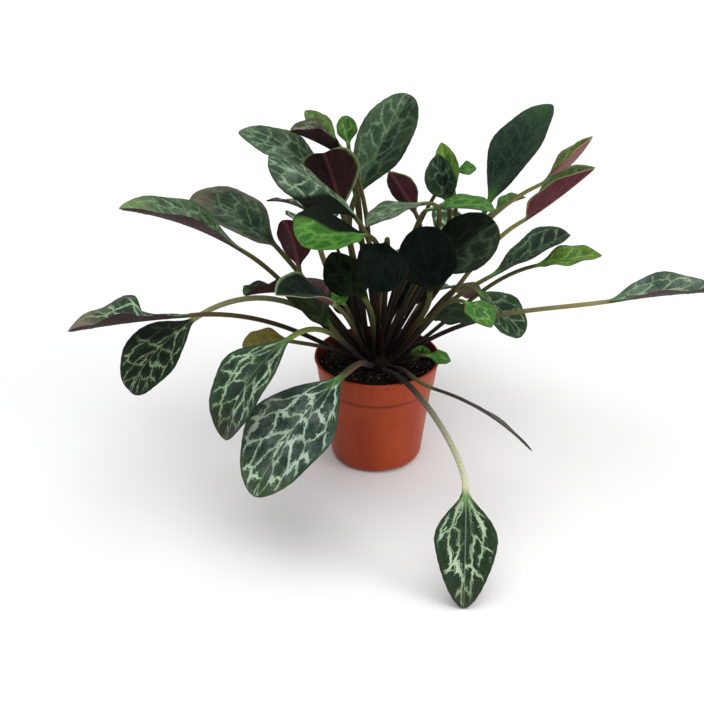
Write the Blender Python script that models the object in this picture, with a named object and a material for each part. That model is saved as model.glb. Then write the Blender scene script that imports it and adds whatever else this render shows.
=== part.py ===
"""A primulina in a small nursery pot: a turned pot, its soil, the plant's crown, and its leaves.

Lengths are in millimetres until scaled() hands them to Blender, which takes metres. The origin is the
middle of the pot's underside, +Z is up, +X is to the right and -Y is the side that faces the viewer.
"""

import math
from typing import NamedTuple

import bmesh
import bpy
from mathutils import Matrix, Vector

MM = 0.001
UP = Vector((0, 0, 1))
GAP = 0.3  # clearance between neighbours that rest on each other

# Pot
RIM_R = 35.0
POT_H = 63.0
BAND_H = 14.5  # the upright band under the rim
BAND_STEP = 1.1  # how far the band stands out from the wall below it
BAND_SLOPE = 0.6  # height of the slope under the band
INNER_SLOPE_UP = 1.0  # inside, the band's slope ends this far above its step
INNER_SLOPE_DOWN = 1.5  # and starts this far below it
LIP = 0.6  # the small bead round the rim
LIP_H = 1.6
WALL = 0.9
FLOOR = 1.6
WALL_TOP_R = 31.4
WALL_FOOT_R = 26.2
FOOT_ROUND = 4.5
FILLET_R = 2.2  # the inner corner between the floor and the wall
FILLET_Z = 0.6
POT_SIDES = 40
NOTCHES = 3
NOTCH_W = 10.0
NOTCH_H = 2.3
NOTCH_AZIMUTH = -68.0
NOTCH_IN_R = 18.5
DRAINS = 4
DRAIN_R = 3.0
DRAIN_RING_R = 12.0
DRAIN_TURN = 20.0  # degrees from the first notch to the first drain
DRAIN_SIDES = 12

# Soil
SOIL_Z = 56.5
SOIL_GAP = 0.4
SOIL_RISE = 0.2  # how much the soil mounds up towards the crown
SOIL_LUMP = 0.55
SOIL_RIPPLES = ((0.55, 0.3, 1.1), (0.21, -0.63, 2.0), (0.9, 0.75, 0.0))  # across, along and start of each
SOIL_RINGS = 5

# Crown: a short plug in the soil with a round head that carries the petioles
CROWN_R = 11.5
CROWN_Z = 58.0
CROWN_FOOT_Z = 44.0
CROWN_SIDES = 20
CROWN_BEVEL = 1.3  # of the plug's lower edge

# Leaves
ROOT_PITCH = 17.5  # degrees between two petioles' roots on the crown
ROOT_LOWEST = 8.0  # degrees above level of the lowest petiole
ROOT_ROUNDS = 400
ROOT_GROWTH = 1.5  # how fast the pitch grows to its full size over the rounds
ROOT_PUSH = 0.3  # how strongly two close roots push each other apart
ROOT_PULL = 0.004  # how strongly a root is drawn back towards its own blade
ROOT_LEAN = 0.8  # how far a root's upper side leans in over the crown

# Petioles
STALK_MIN = 0.85  # half width of a petiole without its leaf's share
STALK_SHARE = 1 / 45  # of the blade's width
STALK_EDGE = 0.45  # half thickness at a petiole's two sides
STALK_UP = 0.62  # how far its back stands up, as a share of the half width
STALK_DOWN = 0.95
STRAIGHT = 4.0  # a petiole leaves the crown straight for this long
LIFT = 0.3  # reach of its first bend, as a share of its span
LIFT_RISE = 0.1  # and how much of that comes with its rise
TWIST_PACE = 1.3  # how early it has turned to the way its blade faces
STALK_STEPS = (3, 8)  # fewest and most sections along it
TURN_A_STEP = 20.0  # degrees of bend that earn one more section

# Blades
BLADE_T = 0.7
BASE_TAPER = 1.3  # 1 is a full base, 2 a long narrow one
BLADE_FROM = -0.08  # where the petiole starts to flatten into the blade
BLADE_EASE = 0.2
FOLD_FROM = 0.3  # the blade has its whole fold from here on
ACROSS = (-1.0, -0.5, 0.0, 0.5, 1.0)
BLADE_STOPS = (0.08, 0.18, 0.29, 0.41, 0.53, 0.65, 0.77, 0.88, 0.96, 1.0)
SMALL_STOPS = (0.12, 0.3, 0.5, 0.7, 0.88, 1.0)
SMALL_WIDTH = 19.0
CREASE = 0.16  # how softly the two halves meet at the midrib
TIP_HALF_WIDTH = 0.6
RIB_DEPTH = 0.75  # how far the midrib stands out below, as a share of the petiole's half width
RIB_WIDTH = 0.25  # as a share of the half blade
WAVES = 2.3  # waves along each margin
WAVE_LAG = 1.3  # how much one margin's waves lag behind the other's
WAVE_IN = 0.35  # where along the blade its waves have grown
WAVE_OUT = 0.3  # how far from the tip they start to die out
PHASE_MIX = (0.37, 0.53)  # makes each leaf's waves start elsewhere


class Leaf(NamedTuple):
    """One leaf. base is where its petiole meets the blade, face is the way the upper side looks."""

    name: str
    base: tuple
    tip: tuple
    width: float
    face: tuple
    fold: float = 28.0  # degrees that each half is raised from flat, below 0 where the halves hang
    bow: float = 4.0  # how far the blade's middle stands above the line from base to tip
    wave: float = 0.8  # how far the margin waves up and down
    point: float = 0.75  # 0.5 is a round tip, 1 a pointed one
    rise: float = 0.25  # how steeply the petiole leaves the crown
    lead: float = 0.36  # the petiole runs in line with its blade over this share of its span
    widest: float = 0.5  # where along the blade it is widest
    taper: float = 2.0  # 2 is an oval end, 1.2 one that narrows early


LEAVES = (
    # The left side, from the lowest up
    Leaf(
        "left_low", (-100, -12, 94), (-163, -26, 91), 34, (0, 0.12, 1), 36, 1,
        wave=1.6, point=0.8, rise=0.6,
    ),
    Leaf(
        "left_hanging", (-102.5, 12, 79), (-139.5, -5, 42.5), 33, (-0.35, -0.8, 0.5), 14, 8,
        point=0.5, rise=2.4,
    ),
    Leaf("left_long", (-70, -8, 129), (-130, -22, 158), 34, (0, 0.02, 1), 32, point=0.7),
    Leaf(
        "left_back", (-56, 26, 117), (-103, 32, 142.5), 29, (0.1, -0.5, 0.9), 20, 8,
        point=0.5, widest=0.43,
    ),
    Leaf("left_dark", (-46, -12, 108), (-68, -38, 118), 22, (0.1, 0.75, 1), 36, 1),
    Leaf("left_yellow", (-47, -14, 79), (-72, -24, 80), 17, (0, -0.4, 1), 10, 3, point=0.5, rise=0.4),
    # The front
    Leaf(
        "front_left", (-45, -46, 98.5), (-78, -74, 55.5), 36, (-0.45, -0.5, 0.7), 20, 9,
        point=0.65, rise=0.7,
    ),
    Leaf(
        "front_big", (-18.5, -51, 79.5), (-62.5, -97, 37.5), 53, (-0.4, -0.4, 0.82), 8, 6,
        point=0.6, widest=0.52, taper=1.7,
    ),
    Leaf(
        "front_hanging", (41, -102, 45), (39, -136, 0.6), 31, (0, -0.8, 0.6), 10, 3,
        wave=0.6, point=0.6, rise=0.6, lead=0.2, widest=0.43, taper=1.3,
    ),
    Leaf(
        "front_edge_on", (28, -46, 69), (76, -80, 52), 24, (0.5, 0.36, 0.74), 4,
        wave=0.5, point=0.9, rise=0.5,
    ),
    Leaf("front_folded", (-23, -30, 109), (-51, -56, 127), 30, (0, -0.2, 1), 24, 3),
    Leaf(
        "front_bright", (-7.5, -28, 147), (-38, -56, 153), 36, (0, -0.38, 0.95), 24, 3,
        point=0.35, widest=0.66,
    ),
    Leaf("front_shaded", (3.4, -28.9, 142.8), (-4.5, -50, 127), 27, (0.1, -0.9, 0.3), 12, 5, point=0.4),
    Leaf("front_small", (44, -29, 110), (56, -46, 104), 17, (0.3, -0.6, 0.7), 14, 2, wave=0.5, point=0.8),
    Leaf("front_low", (-25, -16, 89), (-49, -25, 113), 25, (-0.3, -0.4, 0.9), 24, 3, point=0.65),
    Leaf("front_dark", (-8, -29, 112), (-24, -34, 140), 23, (-0.3, -0.9, 0.3), 14, 2, point=0.6),
    # The middle
    Leaf("middle_round", (27, -12, 107), (24, -10, 144), 32, (-0.1, -0.9, 0.3), 12, 3, point=0.45),
    Leaf("middle_broad", (25, -2, 113), (61, 0, 142), 30, (-0.3, -0.9, 0.3), 12, 3, point=0.5, widest=0.6),
    Leaf("middle_grey", (22, -16, 159), (-7, -38, 155), 24, (0, 0.2, 1), 12, 2, wave=0.6, point=0.85),
    Leaf(
        "middle_level", (25, 3, 148), (58, -13, 153), 22, (0, 0, 1), 22, 2,
        wave=0.5, point=0.6, rise=0.1, lead=0.1,
    ),
    Leaf("middle_purple", (20, 12, 142), (5, 6, 168), 16, (0.2, 0.95, 0.2), 20, 1, wave=0.5, point=1),
    Leaf("middle_dark", (37, 16, 147), (31, 18, 173), 20, (-0.3, -0.9, 0.3), 32, 2),
    Leaf("middle_tip", (41, 25, 148), (34, 37, 173), 13, (-0.1, -0.9, 0.3), 16, 2, point=0.8),
    Leaf(
        "middle_young", (43, 31, 159), (53, 30, 160.5), 9, (0, -0.6, 0.8), 14, 1,
        wave=0.4, point=0.9, lead=0.15,
    ),
    # The top
    Leaf("top_tall", (-12, 22, 148), (17, 40, 198), 30, (-0.3, -0.8, 0.5), 10, 3, point=0.5, widest=0.55),
    Leaf("top_bright", (-16, 32, 174), (-18, 36, 188), 12, (0.1, -0.8, 0.5), 20, 1, wave=0.4, point=0.6),
    Leaf(
        "top_small", (-22, 24, 177), (-39, 38, 190), 12, (-0.1, -0.5, 0.8), 16, 1,
        wave=0.4, point=0.8, lead=0.31,
    ),
    Leaf("top_brown", (-19, 6, 177), (-45, -2, 191.5), 27, (0, -0.02, 1), 42, 1, lead=0.2),
    Leaf("top_left", (-25, 15, 158.5), (-71.5, 4.5, 188.8), 23, (0.3, -0.5, 0.8), 14, 5, point=0.7),
    Leaf(
        "top_purple", (-19, -4, 150), (-28, -10, 183), 31, (-0.1, 0.85, 0.5), 20, 3,
        point=0.35, widest=0.6,
    ),
    Leaf("top_band", (-12, -11, 149), (-54, -31, 187), 30, (0.1, -0.5, 1), -27, 4, point=0.5, widest=0.58),
    # The right side
    Leaf("right_far", (124, 0, 96), (182, -4, 104), 31, (0, 0.05, 1), 34, 1, point=0.65, rise=0.8),
    Leaf("right_bright", (91, 40, 99), (128, 36, 107), 20, (0, -0.25, 1), 24, 1, wave=1, point=0.9),
    Leaf("right_back", (65, 38, 93), (112, 56, 112), 27, (-0.1, -0.1, 1), 30, 0, point=0.5, widest=0.7),
    Leaf("right_drooping", (56, 18, 93.5), (82, 8, 71), 24, (0.3, -0.6, 0.7), 12, 2, point=0.5),
    Leaf("right_under", (28, -10, 91), (50, -16, 92), 22, (0, -0.2, 1), 20, 2),
    Leaf("right_tall", (59, 20, 144), (93, 43, 192), 31, (-0.6, -0.55, 0.45), 20, point=0.7),
    Leaf("right_pink", (85, 18, 156), (110, 14, 184), 24, (-0.78, 0.17, 0.6), 34, -3, wave=0.5, point=1),
    Leaf(
        "right_purple", (75, 8, 139), (107, -12, 176), 32, (-0.67, 0.32, 0.69), 45, -1,
        wave=0.6, point=0.9,
    ),
    Leaf("right_short", (65, 34, 135), (83, 44, 139), 14, (0, 0.1, 1), 30, 1, wave=0.5),
    Leaf("rim_young", (27, -12, 69), (40, -13, 66), 9, (0, -0.5, 0.8), 12, 1, wave=0.4, point=0.9),
    Leaf("rim_round", (23, -2, 63), (24, -6, 72), 12, (0.1, -0.95, 0.3), 8, 1, wave=0.3, point=0.6),
    # Between them
    Leaf("left_purple", (-43, 14, 110), (-51, 18, 136), 24, (0.3, 0.9, 0.3), 18, 3),
    Leaf("left_tip", (-38, 25, 139), (-61, 28, 143), 14, (0, 0.3, 1), 10, 2),
    Leaf("inner_left", (-9, 17, 76), (-21, 24, 100), 22, (-0.2, -0.9, 0.4), 12, 2, point=0.6),
    Leaf("inner_right", (11, 22, 80), (28, 36, 104), 24, (0.2, -0.9, 0.4), 12, 2, point=0.6),
    Leaf("inner_young", (-18, -8, 98), (-24, -14, 111), 10, (-0.3, -0.6, 0.7), 14, 1, wave=0.3, point=0.8),
    # The back, which the viewer doesn't see
    Leaf("back_left", (-34, 64, 104), (-42, 101, 102), 36, (0, 0.1, 1), 26, 5, point=0.6),
    Leaf("back_middle", (6, 70, 82), (10, 118, 70), 42, (0, 0.1, 1), 24, 6, point=0.6),
    Leaf("back_right", (39, 70, 100.5), (63, 106, 98.5), 38, (0, 0.1, 1), 28, 5, point=0.6),
    Leaf("back_hanging", (-24, 56, 80), (-34, 88, 48), 38, (0, 0.6, 0.7), 16, 6, point=0.6),
    Leaf("back_low", (34, 50, 78), (58, 84, 56), 34, (0.3, 0.6, 0.7), 18, 5, point=0.6),
)

YOUNG = (
    "front_bright",
    "front_small",
    "middle_level",
    "middle_tip",
    "middle_young",
    "top_bright",
    "top_small",
    "right_bright",
    "rim_young",
    "inner_young",
)
OLD = ("left_yellow",)

# Base colour, roughness and metallic value of each finish
FINISHES = {
    "pot": ((0.62, 0.16, 0.06), 0.45, 0.0),
    "soil": ((0.035, 0.022, 0.016), 0.95, 0.0),
    "crown": ((0.16, 0.09, 0.05), 0.8, 0.0),
    "leaf": ((0.045, 0.13, 0.06), 0.5, 0.0),
    "young_leaf": ((0.16, 0.36, 0.07), 0.5, 0.0),
    "old_leaf": ((0.34, 0.3, 0.05), 0.55, 0.0),
}


def clear_scene():
    for obj in list(bpy.data.objects):
        bpy.data.objects.remove(obj)


def finish(name):
    """The Principled material of one finish, made once."""
    made = bpy.data.materials.get(name)
    if made:
        return made
    colour, roughness, metallic = FINISHES[name]
    made = bpy.data.materials.new(name)
    made.use_nodes = True
    shader = made.node_tree.nodes["Principled BSDF"]
    shader.inputs["Base Color"].default_value = (*colour, 1.0)
    shader.inputs["Roughness"].default_value = roughness
    shader.inputs["Metallic"].default_value = metallic
    return made


def scaled(mesh, name, finish_name, sharp_deg=35.0):
    """Turns a bmesh in millimetres into a named, smooth-shaded object in metres."""
    bmesh.ops.scale(mesh, vec=(MM, MM, MM), verts=mesh.verts)
    data = bpy.data.meshes.new(name)
    mesh.to_mesh(data)
    mesh.free()
    data.shade_smooth()
    data.set_sharp_from_angle(angle=math.radians(sharp_deg))
    data.materials.append(finish(finish_name))
    obj = bpy.data.objects.new(name, data)
    bpy.context.scene.collection.objects.link(obj)
    return obj


def turned(profile, sides):
    """A closed solid of revolution round Z. The profile's two ends lie on the axis."""
    mesh = bmesh.new()
    rail = [mesh.verts.new((r, 0, z)) for r, z in profile]
    edges = [mesh.edges.new(pair) for pair in zip(rail, rail[1:])]
    bmesh.ops.spin(
        mesh,
        geom=rail + edges,
        axis=UP,
        cent=(0, 0, 0),
        angle=math.tau,
        steps=sides,
        use_merge=True,
    )
    bmesh.ops.remove_doubles(mesh, verts=mesh.verts, dist=1e-4)
    bmesh.ops.recalc_face_normals(mesh, faces=mesh.faces)
    return mesh


def arc(centre, radius, start_deg, end_deg, steps):
    """Points (r, z) of a round stretch of a profile."""
    angles = (math.radians(start_deg + (end_deg - start_deg) * i / steps) for i in range(steps + 1))
    return [(centre[0] + radius * math.cos(a), centre[1] + radius * math.sin(a)) for a in angles]


def wall_r(z):
    """Outer radius of the pot's wall below the band."""
    share = (z - FOOT_ROUND) / (POT_H - BAND_H - FOOT_ROUND)
    return WALL_FOOT_R + (WALL_TOP_R - WALL_FOOT_R) * share


def band_r(z):
    """Outer radius of the band, which tapers a little less than the wall."""
    low = POT_H - BAND_H
    share = (z - low) / BAND_H
    return WALL_TOP_R + BAND_STEP + (RIM_R - LIP - WALL_TOP_R - BAND_STEP) * share


def inner_side(gap):
    """Half section of the pot's inside below the band's top, or of what fills it with a gap all round."""
    step_z = POT_H - BAND_H
    inset = WALL + gap
    corner_r = WALL_FOOT_R - FOOT_ROUND
    return [
        (band_r(step_z) - inset, step_z + INNER_SLOPE_UP + gap / 2),
        (wall_r(step_z) - inset, step_z - INNER_SLOPE_DOWN),
        (WALL_FOOT_R - inset, FOOT_ROUND + gap / 2),
        (corner_r + FILLET_R - gap, FLOOR + FILLET_Z + gap),
        (corner_r, FLOOR + gap),
    ]


def pot_profile():
    """Half section of the pot: underside, round foot, wall, band, rim bead, inner side and floor."""
    step_z = POT_H - BAND_H
    foot = arc((WALL_FOOT_R - FOOT_ROUND, FOOT_ROUND), FOOT_ROUND, -90, 0, 4)
    outer = [(wall_r(step_z - BAND_SLOPE), step_z - BAND_SLOPE), (band_r(step_z), step_z)]
    bead = [
        (band_r(POT_H - LIP_H), POT_H - LIP_H),
        (RIM_R, POT_H - LIP_H * 0.6),
        (RIM_R, POT_H - LIP_H * 0.2),
        (RIM_R - LIP * 0.6, POT_H),
        (band_r(POT_H) - WALL, POT_H),
    ]
    return [(0, 0), *foot, *outer, *bead, *inner_side(0.0), (0, FLOOR)]


def cutter(name, mesh):
    """A wire helper that a Boolean subtracts."""
    obj = scaled(mesh, name, "pot")
    obj.hide_render = True
    obj.display_type = "WIRE"
    return obj


def foot_notches():
    """Boxes that open the foot's corner in a few places, so that water runs out sideways."""
    mesh = bmesh.new()
    long = RIM_R - NOTCH_IN_R
    for i in range(NOTCHES):
        turn = Matrix.Rotation(math.radians(NOTCH_AZIMUTH + i * 360 / NOTCHES), 4, "Z")
        place = turn @ Matrix.Translation((NOTCH_IN_R + long / 2, 0, 0))
        size = Matrix.Diagonal((long, NOTCH_W, 2 * NOTCH_H, 1))
        bmesh.ops.create_cube(mesh, size=1.0, matrix=place @ size)
    return cutter("notch_cutter", mesh)


def floor_drains():
    """Round holes through the pot's floor."""
    mesh = bmesh.new()
    for i in range(DRAINS):
        angle = math.radians(NOTCH_AZIMUTH + DRAIN_TURN + i * 360 / DRAINS)
        middle = Vector((math.cos(angle), math.sin(angle), 0)) * DRAIN_RING_R
        bmesh.ops.create_cone(
            mesh,
            cap_ends=True,
            segments=DRAIN_SIDES,
            radius1=DRAIN_R,
            radius2=DRAIN_R,
            depth=FLOOR * 6,
            matrix=Matrix.Translation(middle),
        )
    return cutter("drain_cutter", mesh)


def make_pot():
    pot = scaled(turned(pot_profile(), POT_SIDES), "pot", "pot")
    for helper in (foot_notches(), floor_drains()):
        cut = pot.modifiers.new(helper.name, "BOOLEAN")
        cut.operation = "DIFFERENCE"
        cut.solver = "EXACT"
        cut.object = helper
    return pot


def soil_lump(x, y):
    """Height of the crumbly surface above the mound, from a few crossed ripples."""
    ripples = [math.sin(a * x + b * y + start) for a, b, start in SOIL_RIPPLES]
    return SOIL_LUMP * sum(ripples) / len(ripples)


def soil_edge_r():
    return band_r(SOIL_Z) - WALL - SOIL_GAP


def soil_top(x, y):
    """The soil's surface: a low mound with lumps that die out at the pot's wall."""
    share = min(1.0, math.hypot(x, y) / soil_edge_r())
    return SOIL_Z + SOIL_RISE * (1 - share**2) + soil_lump(x, y) * (1 - share**4)


def make_soil():
    """The soil fills the pot up to a little below the rim and has a hole for the crown."""
    edge_r = soil_edge_r()
    hole_r = CROWN_R + GAP
    side = inner_side(SOIL_GAP)[::-1]
    top = [(edge_r + (hole_r - edge_r) * i / SOIL_RINGS, SOIL_Z) for i in range(SOIL_RINGS + 1)]
    hole_z = CROWN_FOOT_Z - GAP
    mesh = turned([(0, FLOOR + SOIL_GAP), *side, *top, (hole_r, hole_z), (0, hole_z)], POT_SIDES)
    for vert in mesh.verts:
        if abs(vert.co.z - SOIL_Z) < 0.01:
            vert.co.z = soil_top(vert.co.x, vert.co.y)
    return scaled(mesh, "soil", "soil", 60)


def make_crown():
    """The short stem: a plug down in the soil and a round head just above it."""
    head = arc((0, CROWN_Z), CROWN_R, 0, 90, 5)
    low = CROWN_FOOT_Z
    foot = [(0, low), (CROWN_R - CROWN_BEVEL, low), (CROWN_R, low + CROWN_BEVEL)]
    return scaled(turned([*foot, *head[:-1], (0, CROWN_Z + CROWN_R)], CROWN_SIDES), "crown", "crown", 50)


def root_directions(leaves):
    """A direction from the crown's middle for each petiole. Each starts towards its own blade, and
    close neighbours push each other apart, a little more each round, until every root has room."""
    centre = Vector((0, 0, CROWN_Z))
    wishes = [(Vector(leaf.base) - centre).normalized() for leaf in leaves]
    ways = [wish.copy() for wish in wishes]
    low = math.radians(ROOT_LOWEST)
    for i in range(ROOT_ROUNDS):
        pitch = math.radians(ROOT_PITCH) * min(1.0, ROOT_GROWTH * i / ROOT_ROUNDS)
        for j, first in enumerate(ways):
            for second in ways[j + 1 :]:
                short = pitch - first.angle(second)
                if short > 0:
                    push = (first - second).normalized() * short * ROOT_PUSH
                    first += push
                    second -= push
                    first.normalize()
                    second.normalize()
        for way, wish in zip(ways, wishes):
            way += wish * ROOT_PULL
            way.normalize()
            if way.z < math.sin(low):
                way.z = 0
                way.normalize()
                way.z = math.tan(low)
                way.normalize()
    return ways


def bezier(points, t):
    """A point of the Bezier curve with these control points."""
    while len(points) > 1:
        points = [a.lerp(b, t) for a, b in zip(points, points[1:])]
    return points[0]


def smooth(t):
    t = min(1.0, max(0.0, t))
    return t * t * (3 - 2 * t)


class LeafShape:
    """The surface of one leaf: a rib curve, and a cross-section at each place along it.

    A place along the leaf is a number from -1, the root, over 0, where the blade starts, to 1, the tip.
    """

    def __init__(self, leaf, way):
        self.leaf = leaf
        base, tip = Vector(leaf.base), Vector(leaf.tip)
        face = Vector(leaf.face)
        along = (tip - base).normalized()
        side_up = (face - along * face.dot(along)).normalized()
        middle = (base + tip) / 2 + side_up * (2 * leaf.bow)
        root = Vector((0, 0, CROWN_Z)) + way * (CROWN_R + GAP)
        span = (base - root).length
        start = (way + UP * leaf.rise).normalized()
        end = (middle - base).normalized()
        clear = root + way * STRAIGHT
        bend = clear + start * span * (LIFT + LIFT_RISE * leaf.rise)
        self.petiole = [root, clear, bend, base - end * span * leaf.lead, base]
        self.blade = [base, middle, tip]
        self.face = face.normalized()
        self.stalk = STALK_MIN + leaf.width * STALK_SHARE  # half width of the petiole
        self.phase = (leaf.base[0] * PHASE_MIX[0] + leaf.tip[1] * PHASE_MIX[1]) % math.tau

    def turn_deg(self):
        """How far the petiole turns from its root to its blade."""
        root, clear, _, lead, base = self.petiole
        return math.degrees((clear - root).angle(base - lead))

    def rib(self, s):
        return bezier(self.petiole, s + 1) if s < 0 else bezier(self.blade, s)

    def frame(self, s):
        """Place, side and upward direction of the cross-section at s."""
        step = 0.01
        low, high = (s - step, s) if s > 0.5 else (s, s + step)
        along = (self.rib(high) - self.rib(low)).normalized()
        place = self.rib(s)
        outward = Vector((place.x, place.y, 0)).normalized()
        root_up = (UP - outward * ROOT_LEAN).normalized()
        wanted = root_up.lerp(self.face, smooth((s + 1) * TWIST_PACE))
        up = (wanted - along * wanted.dot(along)).normalized()
        return place, along.cross(up), up

    def half_width(self, s):
        if s <= 0:
            return self.stalk
        widest = self.leaf.widest
        if s < widest:
            share = math.sin(math.pi / 2 * s / widest) ** BASE_TAPER
        else:
            share = (1 - ((s - widest) / (1 - widest)) ** self.leaf.taper) ** self.leaf.point
        return max(TIP_HALF_WIDTH, math.hypot(share * self.leaf.width / 2, self.stalk * (1 - s)))

    def middle_line(self, s, v):
        """The cross-section's middle line at v, from -1 at one margin to 1 at the other."""
        half = self.half_width(s)
        fold = math.radians(self.leaf.fold) * smooth(s / FOLD_FROM)
        lift = (math.hypot(v, CREASE) - CREASE) * math.sin(fold)
        ripple = math.sin(WAVES * math.tau * s + self.phase + (WAVE_LAG if v > 0 else 0)) * v * v
        room = smooth(s / WAVE_IN) * smooth((1 - s) / WAVE_OUT)
        return Vector((half * v * math.cos(fold), half * lift + self.leaf.wave * ripple * room))

    def thickness(self, s, v):
        """How far the upper and the lower skin lie from the middle line."""
        blade = smooth((s - BLADE_FROM) / BLADE_EASE)
        round_off = 1 - v * v
        stalk_up = STALK_EDGE + (self.stalk * STALK_UP - STALK_EDGE) * round_off
        stalk_down = STALK_EDGE + (self.stalk * STALK_DOWN - STALK_EDGE) * round_off
        rib = self.stalk * RIB_DEPTH * (1 - s) * max(0.0, 1 - abs(v) / RIB_WIDTH)
        upper = stalk_up + (BLADE_T / 2 - stalk_up) * blade
        lower = stalk_down + (BLADE_T / 2 + rib - stalk_down) * blade
        return upper, lower

    def skin(self, s, v):
        """The upper and the lower point of the leaf at s and v."""
        step = 0.02
        here = self.middle_line(s, v)
        across = (self.middle_line(s, v + step) - self.middle_line(s, v - step)).normalized()
        upper, lower = self.thickness(s, v)
        normal = Vector((-across.y, across.x))
        place, side, up = self.frame(s)
        above, below = here + normal * upper, here - normal * lower
        return place + side * above.x + up * above.y, place + side * below.x + up * below.y


def leaf_finish(name):
    return "young_leaf" if name in YOUNG else "old_leaf" if name in OLD else "leaf"


def make_leaf(leaf, way):
    """One closed solid: rings of points round the leaf, joined from its root to its tip."""
    shape = LeafShape(leaf, way)
    small = leaf.width < SMALL_WIDTH
    fewest, most = STALK_STEPS
    stalk_steps = min(most, fewest + int(shape.turn_deg() / TURN_A_STEP))
    stops = [i / stalk_steps - 1 for i in range(stalk_steps)] + [0.0]
    stops += SMALL_STOPS if small else BLADE_STOPS
    mesh = bmesh.new()
    rows = []
    for s in stops:
        pairs = [shape.skin(s, v) for v in ACROSS]
        rows.append([[mesh.verts.new(p[k]) for p in pairs] for k in (0, 1)])
    columns = len(ACROSS) - 1
    for (top, under), (next_top, next_under) in zip(rows, rows[1:]):
        for j in range(columns):
            # Each half is cut along the same diagonal above and below, so the skins never cross.
            for near, far, flip in ((top, next_top, False), (under, next_under, True)):
                quad = [near[j], near[j + 1], far[j + 1], far[j]]
                cut = ((0, 1, 2), (0, 2, 3)) if j < columns / 2 else ((0, 1, 3), (1, 2, 3))
                for corners in cut:
                    face = [quad[k] for k in corners]
                    mesh.faces.new(face[::-1] if flip else face)
        for j, flip in ((0, True), (columns, False)):
            quad = [top[j], under[j], next_under[j], next_top[j]]
            mesh.faces.new(quad[::-1] if flip else quad)
    for (top, under), flip in ((rows[0], False), (rows[-1], True)):
        ring = top + under[::-1]
        mesh.faces.new(ring[::-1] if flip else ring)
    bmesh.ops.triangulate(mesh, faces=[f for f in mesh.faces if len(f.verts) > 3])
    bmesh.ops.recalc_face_normals(mesh, faces=mesh.faces)
    return scaled(mesh, "leaf_" + leaf.name, leaf_finish(leaf.name), 60)


def main():
    clear_scene()
    make_pot()
    make_soil()
    make_crown()
    for leaf, way in zip(LEAVES, root_directions(LEAVES)):
        make_leaf(leaf, way)


main()
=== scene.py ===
"""The looks of the potted primulina: its veined leaves, its crown, its soil and its plastic pot.

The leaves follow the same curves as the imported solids, at a finer step. Shapes are worked out in millimetres
and put into metres as the last step. The plant faces -Y.
"""

import math
import random
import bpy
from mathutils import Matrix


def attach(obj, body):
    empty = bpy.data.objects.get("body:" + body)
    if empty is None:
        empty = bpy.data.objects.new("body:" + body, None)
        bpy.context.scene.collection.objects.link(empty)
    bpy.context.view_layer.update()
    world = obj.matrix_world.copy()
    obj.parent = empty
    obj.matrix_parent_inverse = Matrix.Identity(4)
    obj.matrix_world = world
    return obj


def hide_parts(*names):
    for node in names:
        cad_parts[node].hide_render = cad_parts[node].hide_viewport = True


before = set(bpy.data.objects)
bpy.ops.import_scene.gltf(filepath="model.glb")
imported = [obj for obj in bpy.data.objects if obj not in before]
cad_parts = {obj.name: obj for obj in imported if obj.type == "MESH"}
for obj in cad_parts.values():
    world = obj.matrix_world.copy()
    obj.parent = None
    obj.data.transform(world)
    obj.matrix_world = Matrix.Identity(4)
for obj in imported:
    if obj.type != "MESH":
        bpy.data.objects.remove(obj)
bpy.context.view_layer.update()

from types import SimpleNamespace
from typing import NamedTuple

import bmesh
import bpy
from mathutils import Matrix, Vector, noise

MM = 0.001
UP = Vector((0, 0, 1))

# Pot, in millimetres and degrees
RIM_R = 35.0
POT_H = 63.0
BAND_H = 14.5
BAND_STEP = 1.1
BAND_SLOPE = 0.6
BAND_RINGS = (1.0, 4.0, 9.0)  # above the band's lower edge
NECK_DROP = 1.4  # from the band's lower edge to where the wall is even again
INNER_SLOPE_UP = 1.0
INNER_SLOPE_DOWN = 1.5
LIP = 0.6
LIP_H = 1.6
WALL = 0.9
FLOOR = 1.6
WALL_TOP_R = 31.4
WALL_FOOT_R = 26.2
WALL_RINGS = (12.0, 22.0, 32.0, 42.0)
FOOT_ROUND = 4.5
CORNER_R = 0.35
BEAD_R = 0.55
BEAD_DROP = 0.75
FILLET_R = 2.2
FILLET_Z = 0.6
POT_SIDES = 144
NOTCHES = 3
NOTCH_W = 10.0
NOTCH_H = 2.3
NOTCH_AZIMUTH = -68.0
NOTCH_IN_R = 18.5
NOTCH_ROUND = 1.0
DRAINS = 4
DRAIN_R = 3.0
DRAIN_RING_R = 12.0
DRAIN_TURN = 20.0

# Soil
SOIL_Z = 56.5
SOIL_GAP = 0.15
SOIL_RISE = 0.2
SOIL_LUMPS = ((0.9, 0.16, 0), (0.75, 0.45, 7), (0.35, 1.3, 3))  # height, pace and layer of the noise
SOIL_SIDES = 150
SOIL_RINGS = 44
SCATTER_FROM = 9.0
CRUMBS = 1100
CRUMB_DENTS = 0.45
CRUMB_PACE = 1.9
CRUMB_LIFT = 0.12
CLODS = 120
FIBRES = 170
FIBRE_TAPER = (0.5, 1.0, 1.0, 0.95, 0.8, 0.3)
PERLITE = 130

# Crown
CROWN_R = 11.5
CROWN_Z = 58.0
CROWN_NECK = 8
CROWN_SIDES = 72
CROWN_KNOBS = ((0.9, 5.0), (0.45, 13.0))  # height and pace of the noise
CROWN_SHRINK = 0.35

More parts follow.
